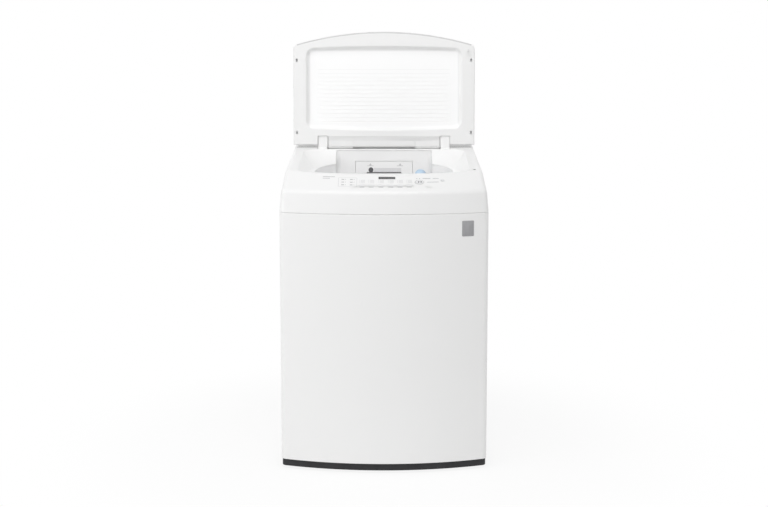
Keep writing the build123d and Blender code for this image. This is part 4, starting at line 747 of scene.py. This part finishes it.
def lid_pads():
    """Pads that close the gap under the lid's tongue beside the long slot in its middle."""
    tree = surface_of("lid_inner")
    tongue_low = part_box("lid_inner")[0].z
    start_y = 0.1
    inner_x = 0.1135
    outer_x = 0.2015
    drop = 0.0060
    thick = 0.003
    tuck = 0.004
    sunk = 0.0002
    for name, side in (("left", -1), ("right", 1)):
        corners = []
        for x in (inner_x, outer_x):
            front = look_back(tree, side * x, start_y, tongue_low + tuck)[0].y + sunk
            for y in (front, front + thick):
                for z in (tongue_low - drop, tongue_low + tuck):
                    corners.append((side * x, y, z))
        lid_block(f"lid_pad_{name}", side, corners, "white_moulding")


def tongue_step():
    """Soft step from the frame of the lid's inside down to its tongue."""
    tree = surface_of("lid_inner")
    start_y = 0.0
    head = 1.0756
    foot = 1.0600
    steps = 12
    columns = (-0.2015, -0.1140, -0.1130, 0.1130, 0.1140, 0.2015)
    points = []
    for x in columns:
        top = look_back(tree, x, start_y, head)[0].y
        bottom = look_back(tree, x, start_y, foot)[0].y - mark_lift
        for step in range(steps + 1):
            share = step / steps
            points.append((x, top + (bottom - top) * ease(share), head + (foot - head) * share))
    faces = grid_faces(len(columns), steps + 1)
    make_piece("tongue_step", points, faces, "lid", "white_moulding", own_materials["lid_inner"])


def lid_shade_strips():
    """Dark strip along the lower edge of the lid beside each hinge: painted shade of the gap under the lid.
    """
    lid_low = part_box("lid_outer")[0].z
    inner_x = 0.243
    outer_x = 0.316
    front = 0.222
    back = 0.231
    drop = 0.0042
    tuck = 0.002
    for name, side in (("left", -1), ("right", 1)):
        corners = [
            (side * x, y, z)
            for x in (inner_x, outer_x)
            for y in (front, back)
            for z in (lid_low - drop, lid_low + tuck)
        ]
        # Painted shade: a black block stands for the shade under the lid's lower edge.
        lid_block(f"lid_shade_strip_{name}", side, corners, "black_rubber")


def lid_rim_painted_shade():
    """Grey strip along the top edge of the open lid, where its shell closes over the liner: painted shade of
    that edge.
    """
    trees = (surface_of("lid_inner"), surface_of("lid_outer"))
    start_y = 0.0
    half = 0.316
    count = 80
    drops = (0.0008, 0.0030, 0.0052)        # of the line's points below the edge
    fall = 0.060                            # more than the edge falls to its ends
    above = 0.001
    halvings = 24
    search_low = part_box("lid_inner")[1].z - fall
    search_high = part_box("lid_outer")[1].z + above

    def front_of_lid(x, z):
        """Foremost point of the lid at a place, or None past its edge."""
        found = [look_back(tree, x, start_y, z)[0] for tree in trees]
        return min((point for point in found if point), key=lambda point: point.y, default=None)

    points = []
    for step in range(count + 1):
        x = half * (2 * step / count - 1)
        low = search_low
        high = search_high
        for _ in range(halvings):
            middle = (low + high) / 2
            if front_of_lid(x, middle):
                low = middle
            else:
                high = middle
        for drop in drops:
            point = front_of_lid(x, low - drop)
            points.append((x, point.y - mark_lift, point.z))
    faces = grid_faces(count + 1, len(drops))
    # Painted shade: the grey strip stands for the shade along the lid's top edge.
    edge_painted_shade = plain_plastic("edge_painted_shade", (0.66, 0.66, 0.66), 0.4)
    make_piece("lid_rim_painted_shade", points, faces, "lid", "white_moulding", edge_painted_shade)


# Bare plate on the front

def front_plate():
    """Small bare plate that follows the bow of the front."""
    plate_x = 0.2735
    plate_z = 0.8125
    half_wide = 0.0195
    half_high = 0.0255
    corner = 0.003
    corner_steps = 6
    thick = 0.0009
    edge = 0.0005
    rim_inset = 0.002
    rim_line = 0.0008
    start_y = -0.6
    tree = surface_of("cabinet")

    def outline(inset):
        """Rectangle with round corners, as places across and up from the plate's middle."""
        radius = corner - inset
        quarters = ((1, 1, 0.0), (-1, 1, 0.5), (-1, -1, 1.0), (1, -1, 1.5))
        around = []
        for side, end, start in quarters:
            for step in range(corner_steps + 1):
                turn = math.pi * (start + step / corner_steps / 2)
                x = side * (half_wide - corner) + radius * math.cos(turn)
                around.append((x, end * (half_high - corner) + radius * math.sin(turn)))
        return around

    def place(x, z, lift=thick + mark_lift):
        hit, normal = look_back(tree, plate_x + x, start_y, plate_z + z)
        return hit + normal * lift

    levels = ((0.0, 0.0), (0.0, thick - edge), (edge, thick))
    points = [place(x, z, lift) for inset, lift in levels for x, z in outline(inset)]
    count = len(outline(0.0))
    points.append(place(0.0, 0.0, thick))
    faces = []
    for level in range(len(levels) - 1):
        a = level * count
        b = a + count
        for i in range(count):
            j = (i + 1) % count
            faces.append((a + i, a + j, b + j, b + i))
    top = count * (len(levels) - 1)
    faces += [(top + i, top + (i + 1) % count, top + count) for i in range(count)]
    make_piece("front_plate", points, faces, "cabinet", "grey_plastic", plate_metal())
    rim = border(0.0, 0.0, 2 * (half_wide - rim_inset), 2 * (half_high - rim_inset), rim_line)
    lay_marks("front_plate_rim", rim, place, "cabinet", "grey_plastic", grey_ink)


# Drum with its many holes, and the wash plate with its blades

def drum_shell():
    """Steel wall of the drum with rows of round holes, each in the middle of its own cell."""
    low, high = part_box("drum_wall")
    middle_y = (low.y + high.y) / 2
    radius = (high.x - low.x) / 2
    thick = 0.0015
    columns = 66
    rows = 16
    hole = 0.0024
    plain_foot = 0.045
    plain_head = 0.030
    band_low = low.z + plain_foot
    band_high = high.z - plain_head
    cell_high = (band_high - band_low) / rows
    cell_turn = full_turn / columns
    merge = 0.00005
    corners = ((1, 0), (1, 1), (0, 1), (-1, 1), (-1, 0), (-1, -1), (0, -1), (1, -1))
    sides = len(corners)
    around = [full_turn * k / sides for k in range(sides)]
    points = []
    faces = []

    def at(turn, z):
        """Adds a point of the wall and gives its number."""
        points.append((radius * math.cos(turn), middle_y + radius * math.sin(turn), z))
        return len(points) - 1

    for row in range(rows):
        for column in range(columns):
            turn = (column + 0.5 * (row % 2)) * cell_turn
            z = band_low + (row + 0.5) * cell_high
            rim = [at(turn + a * cell_turn / 2, z + b * cell_high / 2) for a, b in corners]
            eye = [at(turn + hole / radius * math.cos(a), z + hole * math.sin(a)) for a in around]
            for k in range(sides):
                after = (k + 1) % sides
                faces.append((rim[k], rim[after], eye[after], eye[k]))
    for start, end in ((low.z, band_low), (band_high, high.z)):
        for column in range(2 * columns):
            a = column * cell_turn / 2
            b = a + cell_turn / 2
            faces.append((at(a, start), at(b, start), at(b, end), at(a, end)))
    drum = make_piece("drum_shell", points, faces, "drum", "stainless")
    shape = bmesh.new()
    shape.from_mesh(drum.data)
    bmesh.ops.remove_doubles(shape, verts=shape.verts, dist=merge)
    bmesh.ops.recalc_face_normals(shape, faces=shape.faces)
    # The rims of the holes stay sharp
    for edge in shape.edges:
        edge.smooth = not edge.is_boundary
    shape.to_mesh(drum.data)
    shape.free()
    thicken(drum, thick)
    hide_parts("drum_wall")


def wash_plate():
    """Dished plate with swept blades that run smoothly into it."""
    low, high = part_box("wash_plate")
    middle_y = (low.y + high.y) / 2
    radius = (high.x - low.x) / 2
    hub = 0.034
    thick = 0.004
    blades = 6
    sweep = 0.5
    dish_high = 0.007
    cone_high = 0.026
    rim_high = 0.004
    blade_high = 0.024
    boss_high = 0.011
    cone_end = 0.6 * radius
    rim_start = 0.86 * radius
    blade_full = 2 * hub
    blade_fade = 0.8 * radius
    blade_end = 0.95 * radius
    boss_end = 1.25 * hub
    blade_power = 8
    circles = 48
    turns = 216

    def height(r, turn):
        """Height of the plate above its lowest level."""
        cone = cone_high * (1.0 - ease(r, hub, cone_end))
        rim = rim_high * ease(r, rim_start, radius)
        along = ease(r, hub, blade_full) * (1.0 - ease(r, blade_fade, blade_end))
        lean = (turn + sweep * r / radius) * blades / 2
        blade = blade_high * along * math.cos(lean) ** blade_power
        boss = boss_high * (1.0 - ease(r, hub, boss_end))
        return min(high.z - low.z, dish_high + cone + rim + blade + boss)

    points = [(0.0, middle_y, high.z)]
    faces = []
    for circle in range(1, circles + 1):
        r = radius * circle / circles
        for step in range(turns):
            turn = full_turn * step / turns
            z = high.z if r <= hub else low.z + height(r, turn)
            points.append((r * math.cos(turn), middle_y + r * math.sin(turn), z))
    for step in range(turns):
        after = (step + 1) % turns
        faces.append((0, 1 + step, 1 + after))
        for circle in range(circles - 1):
            inner = 1 + circle * turns
            outer = inner + turns
            faces.append((inner + step, outer + step, outer + after, inner + after))
    plate = make_piece("wash_plate_blades", points, faces, "pulsator", "grey_plastic")
    thicken(plate, thick)
    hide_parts("wash_plate")


# Springs that carry the tub

def coil_springs():
    """Coil springs from the rods' feet up to the tub's cups."""
    low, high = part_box("suspension_springs")
    outer = 0.014
    wire = 0.0026
    coils = 8.0
    closed = 1.5                 # turns at each end that lie close together
    close_pitch = 2.1 * wire
    turn_steps = 24
    wire_steps = 8
    radius = outer - wire
    foot = low.z + wire
    head = high.z - wire
    close_rise = close_pitch * closed
    open_rise = head - foot - 2 * close_rise
    count = round((coils + 2 * closed) * turn_steps)

    def rise(turns):
        """Height up the coil after a number of turns."""
        if turns < closed:
            return close_rise * turns / closed
        if turns < closed + coils:
            return close_rise + open_rise * (turns - closed) / coils
        return close_rise + open_rise + close_rise * (turns - closed - coils) / closed

    points = []
    faces = []
    places = [(x, y) for x in (low.x + outer, high.x - outer) for y in (low.y + outer, high.y - outer)]
    for x, y in places:
        start = len(points)
        for step in range(count + 1):
            turn = full_turn * step / turn_steps
            z = foot + rise(step / turn_steps)
            for side in range(wire_steps):
                around = full_turn * side / wire_steps
                r = radius + wire * math.cos(around)
                points.append((x + r * math.cos(turn), y + r * math.sin(turn), z + wire * math.sin(around)))
        for step in range(count):
            a = start + step * wire_steps
            b = a + wire_steps
            for side in range(wire_steps):
                after = (side + 1) % wire_steps
                faces.append((a + side, b + side, b + after, a + after))
        last = start + count * wire_steps
        faces.append(tuple(range(start, start + wire_steps)))
        faces.append(tuple(range(last, last + wire_steps))[::-1])
    springs = make_piece("coil_springs", points, faces, None, "steel")
    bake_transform(springs)
    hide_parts("suspension_springs")


# Screws and water connections at the back

def back_screws():
    """Domed heads with a cross recess, in place of the plain screws of the rear panel."""
    mesh = nodes["cabinet_screws"].data
    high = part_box("cabinet_screws")[1]
    head = 0.0046
    head_high = 0.0024
    bulge = 0.93                 # share of a half ball that the dome shows
    arm_half = 0.0007
    arm_reach = 0.55 * head
    recess = 0.0012
    floor_high = 0.0002
    circles = 10
    turns = 32
    half = high.x - head
    face_y = high.y - head_high
    heights = sorted({round(point.co.z, 4) for point in mesh.vertices})
    middles = (heights[0] + head, (heights[0] + heights[-1]) / 2, heights[-1] - head)
    points = []
    faces = []
    for side in (-1, 1):
        for middle in middles:
            start = len(points)
            for circle in range(circles + 1):
                share = circle / circles
                r = head * share
                dome = head_high * math.sqrt(max(0.0, 1.0 - (bulge * share) ** 2))
                for step in range(turns):
                    turn = full_turn * step / turns
                    across = r * math.cos(turn)
                    up = r * math.sin(turn)
                    in_cross = min(abs(across), abs(up)) < arm_half and r < arm_reach
                    deep = recess if in_cross else 0.0
                    y = face_y + max(floor_high, dome - deep)
                    points.append((side * half + across, y, middle + up))
            for circle in range(circles):
                a = start + circle * turns
                b = a + turns
                for step in range(turns):
                    after = (step + 1) % turns
                    faces.append((a + step, a + after, b + after, b + step))
    screws = make_piece("back_screw_heads", points, faces, "cabinet", "steel")
    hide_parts("cabinet_screws")


def pipe_thread(name, x, z, end_y, pitch, turns):
    """Thread that winds along a water connection to its end."""
    radius = 0.0132
    crest = 0.0010
    root = -0.0002
    sides = 36
    profile = ((root, -0.5), (crest, 0.0), (root, 0.5))     # height, and place along in pitches
    points = []
    faces = []
    for step in range(turns * sides + 1):
        turn = full_turn * step / sides
        y = end_y - turns * pitch + pitch * step / sides
        for reach, aside in profile:
            r = radius + reach
            points.append((x + r * math.cos(turn), y + aside * pitch, z + r * math.sin(turn)))
    for step in range(turns * sides):
        a = len(profile) * step
        faces += [(a + 1, a + 4, a + 3, a), (a + 2, a + 5, a + 4, a + 1)]
    make_piece(name, points, faces, "cabinet", "grey_plastic")


def foot_ring(name, x, y, z, material):
    """Coloured ring at the foot of a water connection."""
    inner = 0.0135
    outer = 0.0152
    front = -0.0014
    back = 0.0010
    sides = 48
    profile = ((inner, front), (outer, front), (outer, back), (inner, back))
    corners = len(profile)
    points = []
    faces = []
    for step in range(sides):
        turn = full_turn * step / sides
        points += [(x + r * math.cos(turn), y + offset, z + r * math.sin(turn)) for r, offset in profile]
    for step in range(sides):
        a = corners * step
        b = corners * ((step + 1) % sides)
        for k in range(corners):
            after = (k + 1) % corners
            faces.append((a + after, b + after, b + k, a + k))
    make_piece(name, points, faces, "cabinet", "grey_plastic", material)


def water_connections():
    """Pipe thread on both water connections, with a red and a blue ring at their foot."""
    pitch = 0.0018
    turns = 7
    level = 0.962
    end_gap = 0.0008
    foot_gap = 0.0022
    end_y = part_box("inlet_valve")[1].y - end_gap
    foot_y = end_y - turns * pitch - foot_gap
    hot_x = 0.079
    cold_x = 0.141
    red = (0.55, 0.03, 0.03)
    blue = (0.04, 0.16, 0.55)
    for name, x, colour in (("hot", hot_x, red), ("cold", cold_x, blue)):
        pipe_thread(f"thread_{name}", x, level, end_y, pitch, turns)
        foot_ring(f"ring_{name}", x, foot_y, level, plain_plastic(f"{name}_ring", colour, 0.4))


panel_legends()
start_sign()
power_sign()
display_marks()
drawer_marks()
well_coves()
lid_pads()
tongue_step()
lid_shade_strips()
lid_rim_painted_shade()
front_plate()
drum_shell()
wash_plate()
coil_springs()
back_screws()
water_connections()


# Stage: pale floor, white surroundings, soft lights and the camera

def seen_rays(owner):
    """One for rays of the camera and for those that meet metal or glass, nought for light on the machine."""
    rays = add_node(owner, "ShaderNodeLightPath").outputs
    mirrored = calculate(owner, "MAXIMUM", rays["Is Glossy Ray"], rays["Is Transmission Ray"])
    return calculate(owner, "MAXIMUM", rays["Is Camera Ray"], mirrored)


def make_world(front_glow, back_glow):
    """White for the camera and in reflections, and a soft light, mostly from the front, on the machine."""
    white = (1.0, 1.0, 1.0, 1.0)
    front_end = -0.5
    back_end = 0.6
    world = bpy.data.worlds.new("studio")
    bpy.context.scene.world = world
    world.use_nodes = True
    world.node_tree.nodes.clear()
    shown = add_node(world, "ShaderNodeBackground", color=white)
    soft = add_node(world, "ShaderNodeBackground", color=white)
    place = add_node(world, "ShaderNodeTexCoord")
    split = add_node(world, "ShaderNodeSeparateXYZ")
    glow = add_node(world, "ShaderNodeMapRange", from_min=front_end, from_max=back_end)
    glow.inputs["To Min"].default_value = front_glow
    glow.inputs["To Max"].default_value = back_glow
    mix = add_node(world, "ShaderNodeMixShader")
    output = add_node(world, "ShaderNodeOutputWorld")
    join(world, place.outputs["Generated"], split.inputs["Vector"])
    join(world, split.outputs["Y"], glow.inputs["Value"])
    join(world, glow.outputs["Result"], soft.inputs["Strength"])
    join(world, seen_rays(world), mix.inputs["Fac"])
    join(world, soft.outputs["Background"], mix.inputs[1])
    join(world, shown.outputs["Background"], mix.inputs[2])
    join(world, mix.outputs["Shader"], output.inputs["Surface"])


def make_floor():
    """Round pale floor that keeps the shadow near the machine and fades to white further out."""
    floor_radius = 14.0
    shadow_radius = 0.45
    fade_radius = 1.3
    least_white = 0.88
    mesh = bpy.data.meshes.new("floor")
    shape = bmesh.new()
    bmesh.ops.create_circle(shape, cap_ends=True, radius=floor_radius, segments=128)
    shape.to_mesh(mesh)
    shape.free()
    floor = bpy.data.objects.new("floor", mesh)
    bpy.context.scene.collection.objects.link(floor)
    made = new_material("floor", (0.93, 0.93, 0.93), roughness=0.9)
    shader = shader_of(made)
    shader.inputs["Specular IOR Level"].default_value = 0.0
    place = add_node(made, "ShaderNodeTexCoord")
    reach = add_node(made, "ShaderNodeVectorMath")
    reach.operation = "LENGTH"
    fade = add_node(made, "ShaderNodeMapRange", from_min=shadow_radius, from_max=fade_radius)
    fade.inputs["To Min"].default_value = least_white
    fade.interpolation_type = "SMOOTHSTEP"
    white = add_node(made, "ShaderNodeEmission")
    mix = add_node(made, "ShaderNodeMixShader")
    join(made, place.outputs["Object"], reach.inputs[0])
    join(made, reach.outputs["Value"], fade.inputs["Value"])
    share = calculate(made, "MULTIPLY", fade.outputs["Result"], seen_rays(made))
    join(made, share, mix.inputs["Fac"])
    join(made, shader.outputs["BSDF"], mix.inputs[1])
    join(made, white.outputs["Emission"], mix.inputs[2])
    join(made, mix.outputs["Shader"], made.node_tree.nodes["Material Output"].inputs["Surface"])
    mesh.materials.append(made)


def add_light(name, place, target, size, power):
    """A square soft light that looks at a point."""
    light = bpy.data.lights.new(name, "AREA")
    light.shape = "SQUARE"
    light.size = size
    light.energy = power
    lamp = bpy.data.objects.new(name, light)
    lamp.location = place
    lamp.rotation_euler = (Vector(target) - Vector(place)).to_track_quat("-Z", "Y").to_euler()
    bpy.context.scene.collection.objects.link(lamp)


def add_drum_light(place, size, power):
    """Small soft light in the drum, out of the camera's sight."""
    light = bpy.data.lights.new("drum_light", "POINT")
    light.shadow_soft_size = size
    light.energy = power
    lamp = bpy.data.objects.new("drum_light", light)
    lamp.location = place
    lamp.visible_camera = False
    bpy.context.scene.collection.objects.link(lamp)


def make_camera():
    """Camera at the photograph's place, tilted down with a small shift of the lens."""
    sight = bpy.data.cameras.new("camera")
    sight.sensor_width = sensor_width
    sight.lens = focal_pixels / photo_width * sensor_width
    sight.shift_y = lens_shift
    sight.clip_end = 60.0
    camera = bpy.data.objects.new("camera", sight)
    camera.location = (0.0, front_y + front_bow - camera_distance, camera_height)
    camera.rotation_euler = (math.pi / 2 - camera_tilt, 0.0, 0.0)
    bpy.context.scene.collection.objects.link(camera)
    bpy.context.scene.camera = camera


machine_middle = (0.0, 0.0, 0.75)
key_place = (-3.7, -2.0, 1.6)
top_place = (-0.3, -1.2, 3.6)
drum_place = (0.0, -0.02, 0.80)
bpy.context.scene.view_settings.view_transform = "Standard"
make_world(front_glow=0.824, back_glow=0.3)
make_floor()
add_light("key", key_place, machine_middle, size=2.0, power=31.0)
add_light("top", top_place, machine_middle, size=2.0, power=28.5)
add_drum_light(drum_place, size=0.09, power=0.56)
make_camera()
